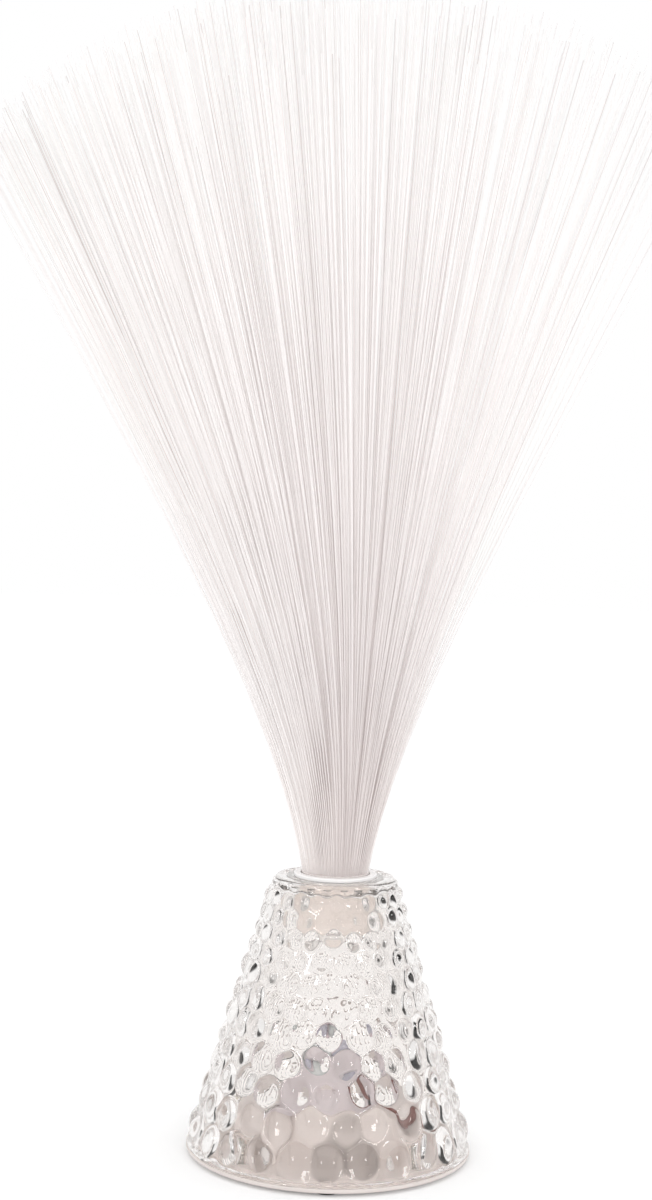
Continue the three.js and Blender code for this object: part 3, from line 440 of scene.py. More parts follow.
def board_mask():
    """Green mask that stands up a little, and is brighter, over the tracks."""
    material, shader, node = new_material("board_mask")
    place = node("TexCoord").outputs["Object"]
    tracks = node("TexBrick", {"Vector": place, "Scale": track_scale, "Mortar Size": track_width,
                               "Color1": mask_green, "Color2": mask_pale, "Mortar": mask_over_track})
    material.node_tree.links.new(tracks.outputs["Color"], shader.inputs["Base Color"])
    ridge = node("Bump", {"Height": tracks.outputs["Fac"], "Strength": track_relief, "Distance": track_depth})
    material.node_tree.links.new(ridge.outputs[0], shader.inputs["Normal"])
    shader.inputs["Roughness"].default_value = mask_roughness
    return material


board = new_piece("board", moulded("board", "light_board", board_edge), board_mask(), "base")
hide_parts("light_board")

# Lights: three 5 mm lamps of clear, faintly tinted epoxy, with their domes out through the top of
# the pod. Their wire legs are soldered under the board, with a bead at each.
led_radius, led_flange = 2.5 * MM, 2.9 * MM
flange_rise, flange_slope = 1.0 * MM, 1.05
leg_spacing, leg_width, leg_slant = 2.54 * MM, 0.5 * MM, 0.2 * MM
bead_radius, bead_rise = 0.75 * MM, 0.55 * MM
bead_taper, bead_curl = 0.75, 0.6
led_around, bead_around = 48, 16
dome_turns = np.radians(np.linspace(0, 88, 12))
bead_steps = np.linspace(0, 1, 6)
led_tints = {"red": (0.84, 0.72, 0.75), "green": (0.74, 0.77, 0.76), "blue": (0.72, 0.71, 0.80)}
led_roughness, led_clearness = 0.12, 0.5
haze_scale, haze_dark = 300.0, 0.9
haze_low, haze_high = 0.3, 0.7
solder_colour = (0.72, 0.72, 0.74)


def led_centre(name):
    """The axis of a light, from the box of its solid, whose legs don't reach past its flange."""
    return box_of(f"led_{name}")[2].xy


def leg_places():
    """Where the two legs of each light pass through the board."""
    for name in ("red", "green", "blue"):
        centre = led_centre(name)
        across = Vector((-centre.y, centre.x)).normalized() * leg_spacing / 2
        yield centre - across
        yield centre + across


def led_epoxy(name, tint):
    """Tinted epoxy, hazy enough to hide the chip inside."""
    material, shader, node = new_material(name)
    place = node("TexCoord").outputs["Object"]
    haze = node("TexNoise", {"Vector": place, "Scale": haze_scale, "Detail": 2.0}).outputs["Fac"]
    dark = tuple(c * haze_dark for c in tint)
    tone = shade_ramp(node, haze, ((haze_low, dark), (haze_high, tint)))
    material.node_tree.links.new(tone, shader.inputs["Base Color"])
    shader.inputs["Roughness"].default_value = led_roughness
    shader.inputs["Transmission Weight"].default_value = led_clearness
    return material


for name, tint in led_tints.items():
    low, high, _ = box_of(f"led_{name}")
    x, y = led_centre(name)
    foot, tip = board_high.z, high.z
    dome_foot = tip - led_radius
    profile = [(axis_hole, foot), (led_flange, foot), (led_flange, foot + flange_rise),
               (led_radius, foot + flange_rise * flange_slope)]
    profile += [(led_radius * math.cos(t), dome_foot + led_radius * math.sin(t)) for t in dome_turns]
    mesh = lathe(f"lamp_{name}", profile, led_around, closed=False, sharp=60)
    mesh.transform(Matrix.Translation((x, y, 0)))
    lamp = new_piece(f"lamp_{name}", mesh, led_epoxy(f"epoxy_{name}", tint), "base")
    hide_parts(f"led_{name}")


def gathered(name, meshes):
    """Several meshes as one."""
    work = bmesh.new()
    for mesh in meshes:
        work.from_mesh(mesh)
        bpy.data.meshes.remove(mesh)
    whole = bpy.data.meshes.new(name)
    work.to_mesh(whole)
    work.free()
    whole.shade_smooth()
    whole.set_sharp_from_angle(angle=math.radians(smooth_angle))
    return whole


def leg(x, y, low, high):
    """A square wire leg, cut at a slant."""
    half = leg_width / 2
    square = [(x - half, y - half), (x + half, y - half), (x + half, y + half), (x - half, y + half)]
    rings = [np.array([(*corner, low + (leg_slant if i < 2 else 0)) for i, corner in enumerate(square)]),
             np.array([(*corner, high) for corner in square])]
    return rings_mesh("leg", rings, closed=False)


led_low = box_of("led_red")[0].z
legs = gathered("lamp_legs", [leg(x, y, led_low, board_high.z + flange_rise / 2) for x, y in leg_places()])
new_piece("lamp_legs", legs, steel, "base")


def bead(x, y):
    """A bead of solder that has crept up a leg."""
    profile = [(bead_radius * (1 - bead_taper * s ** bead_curl), board_low.z - bead_rise * s)
               for s in bead_steps][::-1]
    mesh = lathe("bead", profile, bead_around, closed=False, sharp=60)
    mesh.transform(Matrix.Translation((x, y, 0)))
    return mesh


solder = plated_metal("solder", solder_colour, roughness=0.2)
beads = gathered("solder_beads", [bead(x, y) for x, y in leg_places()])
new_piece("solder_beads", beads, solder, "base")

# Control chip: a bare die under a blob of black potting epoxy, in the middle of the board's
# underside, where the blob was dropped on and has set.
chip_low, chip_high, chip_middle = box_of("control_chip")
chip_radius, chip_rise = chip_high.x - chip_middle.x, chip_high.z - chip_low.z
chip_around = 48
chip_colour = (0.012, 0.012, 0.012)
blob_curl = 0.8
blob_turns = np.radians(np.linspace(88, 8, 12))
blob_profile = [(chip_radius * math.cos(t), chip_high.z - chip_rise * math.sin(t) ** blob_curl)
                for t in blob_turns]
blob_profile += [(chip_radius, chip_high.z)]
blob_mesh = lathe("chip_blob", blob_profile, chip_around, closed=False, sharp=60)
potting = moulded_plastic("chip_epoxy", chip_colour, roughness=0.25, skin=0.02)
blob = new_piece("chip_blob", blob_mesh, potting, "base")
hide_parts("control_chip")

# Small screws: two pan heads hold the pod to its stands, and two smaller ones the board to its
# posts. Zinc-plated steel, with a thread that cuts its own way and a cross recess.
screw_around = 48
thread_pitch_share, thread_depth, thread_rings = 0.8, 0.14, 60
point_share, point_slope = 0.15, 0.8
neck_gap = 0.02 * MM
head_shares = ((0.96, 0), (1.0, 0.12), (1.0, 0.5), (0.94, 0.78), (0.84, 0.93))
top_shares = np.linspace(0.76, 0.02, 14)
crown_share = 0.08
recess_reach, recess_width, recess_depth, recess_slope = 0.62, 0.17, 0.5, 0.6
pan_rise_share, sunk_rise_share = 0.62, 0.42


def screw_mesh(name, at, up, shank, head, head_rise, length):
    """A screw whose head sits with its underside at a place, facing up (1) or down (-1)."""
    angle = np.arange(screw_around) * 2 * math.pi / screw_around
    turn = np.stack([np.cos(angle), np.sin(angle)], axis=-1)
    rings = []
    for z in np.linspace(-length, -neck_gap, thread_rings):
        point = min(1, (z + length) / shank * point_slope + point_share)
        phase = (z / (shank * thread_pitch_share) - angle / (2 * math.pi)) % 1
        radius = shank * point * (1 - thread_depth * np.minimum(phase, 1 - phase) * 2)
        rings.append(np.column_stack([turn * radius[:, None], np.full(screw_around, z)]))
    for share, rise in head_shares:
        rings.append(np.column_stack([turn * head * share, np.full(screw_around, rise * head_rise)]))
    for share in top_shares:
        across = np.abs(turn) * share
        inside = (across.min(-1) < recess_width) & (across.max(-1) < recess_reach)
        sunk = 1 - recess_depth * (1 - across.max(-1) * recess_slope)
        rise = np.where(inside, sunk, 1 - crown_share * share)
        rings.append(np.column_stack([turn * head * share, rise * head_rise]))
    mesh = rings_mesh(name, rings, closed=False)
    if up < 0:
        mesh.transform(Matrix.Rotation(math.pi, 4, "X"))
    mesh.transform(Matrix.Translation(at))
    mesh.set_sharp_from_angle(angle=math.radians(smooth_angle))
    return mesh


def fit_screw(name, node_name, up, shank_share):
    """A screw in place of a solid one, on its axis and as long as it."""
    low, high, middle = box_of(node_name)
    head = (high.x - low.x) / 2
    rise = head * (pan_rise_share if up > 0 else sunk_rise_share)
    under = high.z - rise if up > 0 else low.z + rise
    at = (middle.x, middle.y, under)
    length = high.z - low.z - rise
    mesh = screw_mesh(name, at, up, head * shank_share, head, rise, length)
    piece = new_piece(name, mesh, steel, "base")
    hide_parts(node_name)


for number in (1, 2):
    fit_screw(f"pod_pan_screw_{number}", f"pod_screw_{number}", up=1, shank_share=0.46)
    fit_screw(f"board_pan_screw_{number}", f"board_screw_{number}", up=-1, shank_share=0.5)

# Wires: thin stranded wire in soft sleeves, soldered from the bay's tails to the board and switch.
# The red one shows through the base, low on the right.
wire_tints = {"red": (0.20, 0.085, 0.07), "black": (0.03, 0.03, 0.03), "white": (0.70, 0.67, 0.62)}
for colour, tint in wire_tints.items():
    node_name = "switch_wire" if colour == "white" else f"{colour}_wire"
    vinyl = moulded_plastic(f"{colour}_sleeve", tint, roughness=0.35, skin=0.01, mottle=0.06)
    mesh = rounded(f"{colour}_lead", node_name)
    lead = new_piece(f"{colour}_lead", mesh, vinyl, "base")
    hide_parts(node_name)

# Crystal base: one moulded shell of clear acrylic, whose outside is a pattern of rounded hobnails
# in staggered rows that shrink with the cone, no two of them quite alike. Four bosses for the
# cover's screws stand on the inside.
crystal_low, crystal_high, _ = box_of("crystal_base")
cone_slope = 0.282
inner_at_deck = 16.3 * MM
deck_thickness = 3.0 * MM
wall = 1.6 * MM
refractive_index = 1.49
crystal_tint = (0.962, 0.941, 0.927)
flow_scale, flow_strength, flow_depth = 75.0, 0.75, 0.6 * MM
shadow_share = 0.96
hobnail_seed = 3
hobnails_around, hobnail_rows = 24, 11
hobnail_height = 3.8 * MM
hobnail_start = 0.48
hobnail_reach, hobnail_spread = 0.485, 0.035
hobnail_stray, hobnail_draw, hobnail_sink = 0.085, 0.18, 0.25
hobnail_rim, hobnail_fall, hobnail_roundness = 1.02, 0.1, 0.85
valley_softness = 0.28
steps_per_hobnail, rings_per_row = 16, 14
rim_fade, rim_lift = 0.6, 0.35
foot_band, rim_band = 0.7 * MM, 1.3 * MM
rim_round, rim_proud = 1.0 * MM, 0.45 * MM
rim_turns = np.radians(np.linspace(0, 90, 6))
foot_lift, foot_edge_rise, foot_edge_top = 0.03 * MM, 0.2 * MM, 0.6 * MM
foot_reach, foot_widest, foot_narrow = 1.8 * MM, 2.0 * MM, 1.9 * MM
hole_radius, seat_radius, seat_depth, seat_round = 12.4 * MM, 14.4 * MM, 1.2 * MM, 0.15 * MM
deck_round, deck_lip, deck_reach = 0.1 * MM, 0.9 * MM, 0.8 * MM
boss_radius, boss_top = 3.2 * MM, 11.4 * MM
floor_thickness = 2.45 * MM
pilot_radius, pilot_overrun, tip_room = 1.45 * MM, 1 * MM, 0.3 * MM
rod_edge, rod_around = 0.1 * MM, 48
crystal_sharp = 50


def inner_radius(z):
    """How far the inside of the cone is from its axis at a height."""
    return inner_at_deck + (crystal_high.z - deck_thickness - z) * cone_slope


def clear_plastic(name, clearness=1.0):
    """Clear plastic that bends what is behind it and lets light through to what it covers."""
    material, shader, node = new_material(name)
    tree = material.node_tree
    place = node("TexCoord").outputs["Object"]
    flow = node("TexNoise", {"Vector": place, "Scale": flow_scale, "Detail": 2.0}).outputs["Fac"]
    ripple = node("Bump", {"Height": flow, "Strength": flow_strength, "Distance": flow_depth})
    tree.links.new(ripple.outputs[0], shader.inputs["Normal"])
    shader.inputs["Base Color"].default_value = (*crystal_tint, 1)
    shader.inputs["Roughness"].default_value = 0.0
    shader.inputs["IOR"].default_value = refractive_index
    shader.inputs["Transmission Weight"].default_value = clearness
    passing = node("BsdfTransparent", {0: (shadow_share, shadow_share, shadow_share, 1)})
    mix = node("MixShader", {0: node("LightPath").outputs["Is Shadow Ray"], 1: shader.outputs[0],
                             2: passing.outputs[0]})
    tree.links.new(mix.outputs[0], tree.nodes["Material Output"].inputs["Surface"])
    return material


def hobnail_wall():
    """The points of the hobnailed wall, ring by ring, from its foot band up to its rim band."""
    low_z, high_z = crystal_low.z + foot_band, crystal_high.z - rim_band
    low, high = inner_radius(low_z) + wall, inner_radius(high_z) + wall
    pitches = hobnail_rows + 1 / 3
    shrink = (high / low) ** (1 / pitches)
    tilt = math.hypot(1, cone_slope)
    rows = np.linspace(0, pitches, round(pitches * rings_per_row) + 1)
    steps = np.arange(steps_per_hobnail * hobnails_around) * 2 / steps_per_hobnail
    row, step = np.meshgrid(rows, steps, indexing="ij")
    lift = np.zeros_like(row)
    chance = np.random.default_rng(hobnail_seed)
    for k in range(-1, hobnail_rows + 1):
        for j in range(hobnails_around):
            aside, rise = chance.normal(0, hobnail_stray, 2)
            turn, drawn, sunk = chance.random(3)
            reach = hobnail_reach + chance.normal(0, hobnail_spread)
            across = (step - (k % 2 + 2 * j) + hobnails_around) % (2 * hobnails_around)
            across = (across - hobnails_around) / 2 - aside
            up = (row - (k + hobnail_start)) * math.sqrt(3) / 2 - rise
            turn *= math.pi
            along = (across * math.cos(turn) + up * math.sin(turn)) / (1 + hobnail_draw * drawn)
            beside = up * math.cos(turn) - across * math.sin(turn)
            inward = np.clip(hobnail_rim - (along ** 2 + beside ** 2) / reach ** 2, 0, None)
            dome = (1 - hobnail_sink * sunk) * (inward ** hobnail_roundness - hobnail_fall)
            blend = np.clip(0.5 + 0.5 * (lift - dome) / valley_softness, 0, 1)
            lift = dome + (lift - dome) * blend + valley_softness * blend * (1 - blend)
    lift = rim_lift + (lift - rim_lift) * np.clip((pitches - row) / rim_fade, 0, 1)
    radius = low * shrink ** row
    raised = lift * hobnail_height * radius / low
    z = low_z + (low - radius) / cone_slope + raised * cone_slope / tilt
    out = radius + raised / tilt
    angle = step * math.pi / hobnails_around
    return list(np.stack([out * np.cos(angle), out * np.sin(angle), z], axis=-1))


def crystal_mesh():
    """The whole shell: its foot, the hobnails, the rim, the seat and hole for the cup, the inside."""
    around = steps_per_hobnail * hobnails_around
    foot, top = crystal_low.z + foot_lift, crystal_high.z
    foot_radius = inner_radius(foot) + wall
    rim_radius = inner_radius(top) + wall + rim_proud
    deck_under, seat = top - deck_thickness, top - seat_depth
    below = [(inner_radius(foot), foot), (foot_radius + foot_reach, foot),
             (foot_radius + foot_widest, foot + foot_edge_rise),
             (foot_radius + foot_narrow, foot + foot_edge_top)]
    above = [(rim_radius - rim_round * (1 - math.cos(t)), top - rim_round * (1 - math.sin(t)))
             for t in rim_turns]
    above += [(seat_radius + seat_round, top), (seat_radius, top - seat_round), (seat_radius, seat),
              (hole_radius, seat), (hole_radius, deck_under - deck_round),
              (inner_radius(deck_under) - deck_reach, deck_under - deck_round),
              (inner_radius(deck_under), deck_under - deck_lip)]
    rings = [ring_of(around, *point) for point in below] + hobnail_wall()
    rings += [ring_of(around, *point) for point in above]
    return rings_mesh("crystal", rings)


crystal = new_piece("crystal", crystal_mesh(), clear_plastic("clear_plastic"), "base")
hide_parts("crystal_base")


def join_or_cut(piece, tool_mesh, operation):
    """Join a mesh to a piece, or cut it away."""
    tool = bpy.data.objects.new("tool", tool_mesh)
    bpy.context.scene.collection.objects.link(tool)
    step = piece.modifiers.new("step", "BOOLEAN")
    step.operation = operation
    step.solver = "MANIFOLD"
    step.object = tool
    made = bpy.data.meshes.new_from_object(piece.evaluated_get(bpy.context.evaluated_depsgraph_get()))
    piece.modifiers.remove(step)
    bpy.data.objects.remove(tool)
    piece.data = made


boss_low = box_of("bottom_cover")[0].z + floor_thickness
screw_places = [box_of(f"cover_screw_{number}")[2].xy for number in (1, 2, 3, 4)]


def rods(name, radius, low, high):
    """An upright rod at each of the cover's screws."""
    made = []
    for x, y in screw_places:
        profile = [(radius - rod_edge, low), (radius, low + rod_edge), (radius, high)]
        rod = lathe("rod", profile, rod_around, closed=False)
        rod.transform(Matrix.Translation((x, y, 0)))
        made.append(rod)
    return gathered(name, made)


join_or_cut(crystal, rods("bosses", boss_radius, boss_low, boss_top), "UNION")
screw_tip = box_of("cover_screw_1")[1].z
pilots = rods("pilots", pilot_radius, boss_low - pilot_overrun, screw_tip + tip_room)
join_or_cut(crystal, pilots, "DIFFERENCE")
crystal.data.shade_smooth()
crystal.data.set_sharp_from_angle(angle=math.radians(crystal_sharp))

# Cover screws: four pan heads sunk in the underside of the cover, which draw it up against the
# foot of the base.
for number in (1, 2, 3, 4):
    fit_screw(f"cover_pan_screw_{number}", f"cover_screw_{number}", up=-1, shank_share=0.48)

# Feet: four soft black rubber discs, pressed into shallow seats round the edge of the cover. Each
# has a dished face that grips the table.
foot_around = 64
foot_edge, foot_edge_share = 0.4 * MM, 0.3
foot_dish, dish_share, tread_share = 0.25 * MM, 0.55, 0.68
rubber_colour = (0.045, 0.043, 0.042)
rubber = moulded_plastic("foot_rubber", rubber_colour, roughness=0.75, skin=0.2, mottle=0.1)
for number in (1, 2, 3, 4):
    low, high, middle = box_of(f"rubber_foot_{number}")
    radius = (high.x - low.x) / 2
    bevel = foot_edge * foot_edge_share
    profile = [(axis_hole, low.z + foot_dish), (radius * dish_share, low.z + foot_dish),
               (radius * tread_share, low.z), (radius - foot_edge, low.z), (radius - bevel, low.z + bevel),
               (radius, low.z + foot_edge), (radius, high.z), (axis_hole, high.z)]
    mesh = lathe(f"foot_{number}", profile, foot_around, closed=False)
    mesh.transform(Matrix.Translation((middle.x, middle.y, 0)))
    foot = new_piece(f"foot_{number}", mesh, rubber, "base")
    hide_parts(f"rubber_foot_{number}")

# Socket cup: a thin clear moulded cup that drops into the top of the base. Its flange sits flush
# with the deck. The spray plugs into it, and the two turn together.
cup_low, cup_high, _ = box_of("socket_cup")
cup_wall, cup_flange, cup_ledge = 1.1 * MM, 1.2 * MM, 2.2 * MM
cup_edge, cup_room = 0.2 * MM, 0.3 * MM
cup_clearness = 0.78
cup_around = 128
butt_radius = 9.7 * MM
tube_radius = 10.7 * MM
cup_inner = tube_radius + cup_room
cup_outer = cup_inner + cup_wall
cup_mouth = butt_radius - cup_ledge
cup_profile = [
    (cup_mouth, cup_low.z), (cup_outer - cup_edge, cup_low.z), (cup_outer, cup_low.z + cup_edge),
    (cup_outer, cup_high.z - cup_flange), (cup_high.x, cup_high.z - cup_flange),
    (cup_high.x, cup_high.z - cup_edge), (cup_high.x - cup_edge, cup_high.z),
    (cup_inner + cup_edge, cup_high.z), (cup_inner, cup_high.z - cup_edge),
    (cup_inner, cup_low.z + cup_flange), (cup_mouth, cup_low.z + cup_flange)]
cup_plastic = clear_plastic("cup_plastic", cup_clearness)
cup_mesh = lathe("clear_cup", cup_profile, cup_around)
cup = new_piece("clear_cup", cup_mesh, cup_plastic, "socket")
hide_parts("socket_cup")

# Ferrule: a satin tube of pinkish-beige plastic, glued round the butt of the fibres, with a thin
# pale collar that rests on the cup.
ferrule_low, ferrule_high, _ = box_of("ferrule")
ferrule_wall = 0.7 * MM
ferrule_around = 128
collar_rise, collar_edge, collar_fade = 1.0 * MM, 0.15 * MM, 0.6 * MM
ferrule_colour, collar_colour = (0.90, 0.80, 0.74), (0.97, 0.955, 0.95)


def ferrule_plastic():
    """The ferrule's plastic, which pales towards the thin collar."""
    material = moulded_plastic("ferrule_plastic", ferrule_colour, roughness=0.4)
    node = node_maker(material.node_tree)
    shader = material.node_tree.nodes["Principled BSDF"]
    tone = shader.inputs["Base Color"].links[0].from_socket
    height = node("SeparateXYZ", {0: node("TexCoord").outputs["Object"]}).outputs["Z"]
    top = ferrule_high.z - collar_rise
    thin = node("MapRange", {"Value": height, "From Min": top - collar_fade, "From Max": top})
    mixed = node("Mix", {"Factor": thin.outputs[0], "A": tone, "B": (*collar_colour, 1)}, data_type="RGBA")
    material.node_tree.links.new(mixed.outputs["Result"], shader.inputs["Base Color"])
    return material


tube_inner = tube_radius - ferrule_wall
ferrule_profile = [
    (tube_inner, ferrule_low.z), (tube_radius - collar_edge, ferrule_low.z),
    (tube_radius, ferrule_low.z + collar_edge), (tube_radius, ferrule_high.z - collar_rise),
    (ferrule_high.x - collar_edge, ferrule_high.z - collar_rise),
    (ferrule_high.x, ferrule_high.z - collar_rise + collar_edge),
    (ferrule_high.x, ferrule_high.z - 2 * collar_edge), (ferrule_high.x - 2 * collar_edge, ferrule_high.z),
    (tube_inner + collar_edge, ferrule_high.z), (tube_inner, ferrule_high.z - collar_edge)]
ferrule_mesh = lathe("ferrule_tube", ferrule_profile, ferrule_around)
ferrule = new_piece("ferrule_tube", ferrule_mesh, ferrule_plastic(), "spray")
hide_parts("ferrule")

# Spray: some two thousand fibres drawn from clear acrylic, milky in bulk, cut a little unevenly
# and glued into one butt. They settle upright in the mouth and then fan out, and cling in clumps.
fibre_seed = 7
fibre_count = 2200
fibre_width = 0.26 * MM
fibre_sides = 4
fibre_rise = 0.2 * MM
settle_height = 50 * MM
fibre_length = 248.0 * MM
fibre_ragged = 7 * MM
fibre_tip_fall = 60 * MM
mouth_slope = 0.18
fan_slope, fringe_slope, fringe_power = 0.38, 0.22, 8
left_fullness = 4.0
right_fringe_squeeze, right_strays = 0.7, 0.22
left_gather, gather_power = 0.38, 3
fan_power = 1.06
spray_lean = (-0.13, 0.05)
stray_slope = 0.008
clump_count, clump_pull = 190, 0.28
shade_bias = 1.25
# The way, across the spray, that fibres face where painted shade darkens them most.
painted_fibre_shade_way = (0.36, -0.93)
bend_shares = np.array([0, 0.03, 0.07, 0.12, 0.18, 0.26, 0.36, 0.5, 0.72, 1.0])
golden_angle = math.pi * (3 - math.sqrt(5))


def fibre_paths(chance):
    """The points along every fibre, and the way out from the middle at its root."""
    i = np.arange(fibre_count)
    place = np.sqrt((i + 0.5) / fibre_count)
    angle = i * golden_angle
    outward = np.stack([np.cos(angle), np.sin(angle)], axis=-1)
    fringe = place[:, None] ** fringe_power
    root = outward * ((butt_radius - fibre_width) * place)[:, None]
    mouth = outward * (mouth_slope * place)[:, None]
    turned = angle + left_gather * np.sin(angle) * place ** gather_power
    fanned = np.stack([np.cos(turned), np.sin(turned)], axis=-1)
    right, left = np.clip(fanned[:, 0], 0, 1), np.clip(-fanned[:, 0], 0, 1)
    squeezed = right * (chance.random(fibre_count) > right_strays)
    spread = fan_slope * place ** fan_power
    left_out = place ** (fringe_power - left_fullness * left)
    spread += fringe_slope * left_out * (1 - right_fringe_squeeze * squeezed)
    fan = fanned * spread[:, None]
    fan += np.array(spray_lean) * (1 - fringe) ** 2 + chance.normal(0, stray_slope, fan.shape)
    clumps = fan[chance.choice(fibre_count, clump_count, replace=False)]
    nearest = np.argmin(((fan[:, None, :] - clumps[None, :, :]) ** 2).sum(-1), axis=1)
    fan += clump_pull * (clumps[nearest] - fan)
    bend = (fan - mouth) * settle_height
    slope = (fan ** 2).sum(-1)
    length = fibre_length - fibre_ragged * chance.random(fibre_count) * place - fibre_tip_fall * slope
    # The height at which the fibre's chord is as long as the fibre.
    lean = (fan * bend).sum(-1)
    tip = (lean + np.sqrt(lean ** 2 - (1 + slope) * ((bend ** 2).sum(-1) - length ** 2))) / (1 + slope)
    height = tip[:, None] * bend_shares[None, :]
    settled = 1 - np.exp(-height / settle_height)
    across = root[:, None, :] + fan[:, None, :] * height[..., None] - bend[:, None, :] * settled[..., None]
    start = ferrule_high.z + fibre_rise
    return np.concatenate([across, start + height[..., None]], axis=-1), outward


def fibre_mesh():
    """Every fibre as a thin four-sided tube. Its points store its own shade, and how squarely it
    faces the front or the back, which sets how much painted shade it gets."""
    chance = np.random.default_rng(fibre_seed)
    path, outward = fibre_paths(chance)
    along = np.gradient(path, axis=1)
    along /= np.linalg.norm(along, axis=-1, keepdims=True)
    side = np.zeros_like(path)
    side[..., 0], side[..., 1] = -outward[:, 1:2], outward[:, 0:1]
    up = np.cross(along, side)
    turns = np.arange(fibre_sides) * 2 * math.pi / fibre_sides
    ring = (side[:, :, None, :] * np.cos(turns)[None, None, :, None]
            + up[:, :, None, :] * np.sin(turns)[None, None, :, None])
    points = path[:, :, None, :] + ring * fibre_width / 2
    rings = len(bend_shares)
    base = (np.arange(fibre_count) * rings * fibre_sides)[:, None, None]
    r = (np.arange(rings - 1) * fibre_sides)[None, :, None]
    j = np.arange(fibre_sides)[None, None, :]
    k = (j + 1) % fibre_sides
    quads = (base + r + j, base + r + k, base + r + fibre_sides + k, base + r + fibre_sides + j)
    quads = np.stack(quads, axis=-1).reshape(-1, 4)
    ends = np.arange(fibre_sides)
    caps = np.concatenate([base[:, 0, :] + ends[::-1], base[:, 0, :] + (rings - 1) * fibre_sides + ends])
    mesh = bpy.data.meshes.new("fibres")
    mesh.from_pydata(points.reshape(-1, 3).tolist(), [], np.concatenate([quads, caps]).tolist())
    mesh.shade_smooth()
    shade = mesh.attributes.new("shade", "FLOAT", "POINT")
    shade.data.foreach_set("value", np.repeat(chance.random(fibre_count) ** shade_bias, rings * fibre_sides))
    painted_fibre_shade_share = mesh.attributes.new("painted_fibre_shade_share", "FLOAT", "POINT")
    painted_fibre_shade_facing = (outward @ np.array(painted_fibre_shade_way)) ** 2
    painted_fibre_shade_share.data.foreach_set("value", np.repeat(painted_fibre_shade_facing, rings * fibre_sides))
    return mesh


fibre_shades = ((0.0, (0.70, 0.66, 0.65)), (0.05, (0.88, 0.845, 0.84)), (0.15, (0.96, 0.935, 0.93)),
                (1.0, (0.985, 0.965, 0.96)))
neck_tint = (1.0, 0.965, 0.95)
neck_top = 85 * MM
neck_evenness = 0.45
streak_scale, streak_stretch = 420.0, 0.08
streak_shades = ((0.2, 0.96), (0.8, 1.0))
fibre_roughness = 0.3
# Painted shade: fibres facing the front or back are darkened and made pinker, most at the neck.
painted_fibre_shade_strength, painted_fibre_shade_reach, painted_fibre_shade_tint = 0.48, 200 * MM, (0.55, 0.46, 0.45)
# Painted glow: the fibres give off a little light of their own, strongest at the root, which lightens them.
painted_glow_tint = (1, 0.955, 0.94, 1)
painted_glow_low, painted_glow_high = 80 * MM, 330 * MM
painted_glow_strengths = ((0.0, 0.22), (0.03, 0.10), (0.3, 0.13), (0.5, 0.127), (0.75, 0.103))


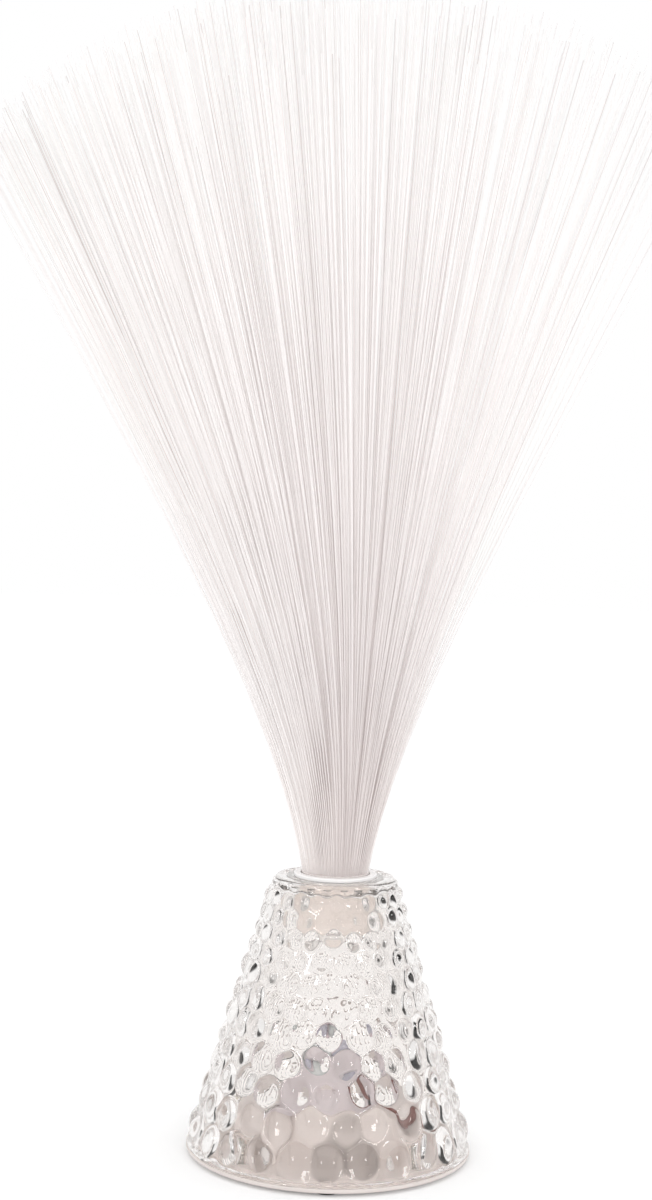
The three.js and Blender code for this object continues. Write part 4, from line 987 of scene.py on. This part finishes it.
def drawn_fibre(name):
    """Drawn acrylic: each fibre has its own shade, and the odd one is greyer. Painted shade darkens
    and pinkens the fibres facing the front or back, low down, and a painted glow lightens all of them."""
    material, shader, node = new_material(name)
    own = shade_ramp(node, node("Attribute", attribute_name="shade").outputs["Fac"], fibre_shades)
    place = node("TexCoord").outputs["Object"]
    height = node("SeparateXYZ", {0: place}).outputs["Z"]
    stretched = node("Mapping", {"Vector": place, "Scale": (1.0, 1.0, streak_stretch)})
    streak = node("TexNoise", {"Vector": stretched.outputs[0], "Scale": streak_scale, "Detail": 2.0})
    tone = shade_ramp(node, streak.outputs["Fac"], streak_shades)
    thin = node("MapRange", {"Value": height, "From Min": neck_top, "From Max": neck_top + settle_height})
    apart = node("MapRange", {"Value": height, "From Min": neck_top, "From Max": neck_top + settle_height,
                              "To Min": neck_evenness, "To Max": 1.0})
    own = node("Mix", {"Factor": apart.outputs[0], "A": (1, 1, 1, 1), "B": own}, data_type="RGBA")
    tint = node("Mix", {"Factor": thin.outputs[0], "A": (*neck_tint, 1), "B": (1, 1, 1, 1)}, data_type="RGBA")
    colour = node("Mix", {"Factor": 1.0, "A": own.outputs["Result"], "B": tone},
                  data_type="RGBA", blend_type="MULTIPLY")
    colour = node("Mix", {"Factor": 1.0, "A": colour.outputs["Result"], "B": tint.outputs["Result"]},
                  data_type="RGBA", blend_type="MULTIPLY")
    # How much painted shade a fibre gets: its facing, fading out going up from the neck.
    painted_fibre_shade_fade = node("MapRange", {"Value": height, "From Min": neck_top, "From Max": neck_top + painted_fibre_shade_reach,
                                "To Min": painted_fibre_shade_strength, "To Max": 0.0})
    painted_fibre_shade_amount = node("Math", {0: node("Attribute", attribute_name="painted_fibre_shade_share").outputs["Fac"], 1: painted_fibre_shade_fade.outputs[0]},
                operation="MULTIPLY")
    colour = node("Mix", {"Factor": painted_fibre_shade_amount.outputs[0], "A": colour.outputs["Result"], "B": (*painted_fibre_shade_tint, 1)},
                  data_type="RGBA")
    # The painted glow's strength, by height up the spray.
    up = node("MapRange", {"Value": height, "From Min": painted_glow_low, "From Max": painted_glow_high})
    painted_glow = shade_ramp(node, up.outputs[0], painted_glow_strengths)
    links = material.node_tree.links
    links.new(colour.outputs["Result"], shader.inputs["Base Color"])
    links.new(painted_glow, shader.inputs["Emission Strength"])
    shader.inputs["Emission Color"].default_value = painted_glow_tint
    shader.inputs["Roughness"].default_value = fibre_roughness
    shader.inputs["IOR"].default_value = refractive_index
    return material


spray = new_piece("fibre_spray", fibre_mesh(), drawn_fibre("drawn_fibre"), "spray")
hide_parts("fibre_bundle")

glue_scale, glue_roughness = 2600.0, 0.25
glue_shades = ((0.25, (0.86, 0.82, 0.80)), (0.6, (0.66, 0.60, 0.58)))
butt_edge, butt_proud = 0.2 * MM, 0.35 * MM
butt_around = 96


def glued_butt():
    """The sawn and polished butt: the ends of the fibres in clear glue."""
    material, shader, node = new_material("glued_butt")
    ends = node("TexVoronoi", {"Vector": node("TexCoord").outputs["Object"], "Scale": glue_scale})
    tone = shade_ramp(node, ends.outputs["Distance"], glue_shades)
    material.node_tree.links.new(tone, shader.inputs["Base Color"])
    shader.inputs["Roughness"].default_value = glue_roughness
    return material


butt_low, butt_high = ferrule_low.z, ferrule_high.z + butt_proud
butt_profile = [
    (axis_hole, butt_low), (butt_radius - butt_edge, butt_low), (butt_radius, butt_low + butt_edge),
    (butt_radius, butt_high - butt_edge), (butt_radius - butt_edge, butt_high), (axis_hole, butt_high)]
butt_mesh = lathe("fibre_butt", butt_profile, butt_around, closed=False)
new_piece("fibre_butt", butt_mesh, glued_butt(), "spray")
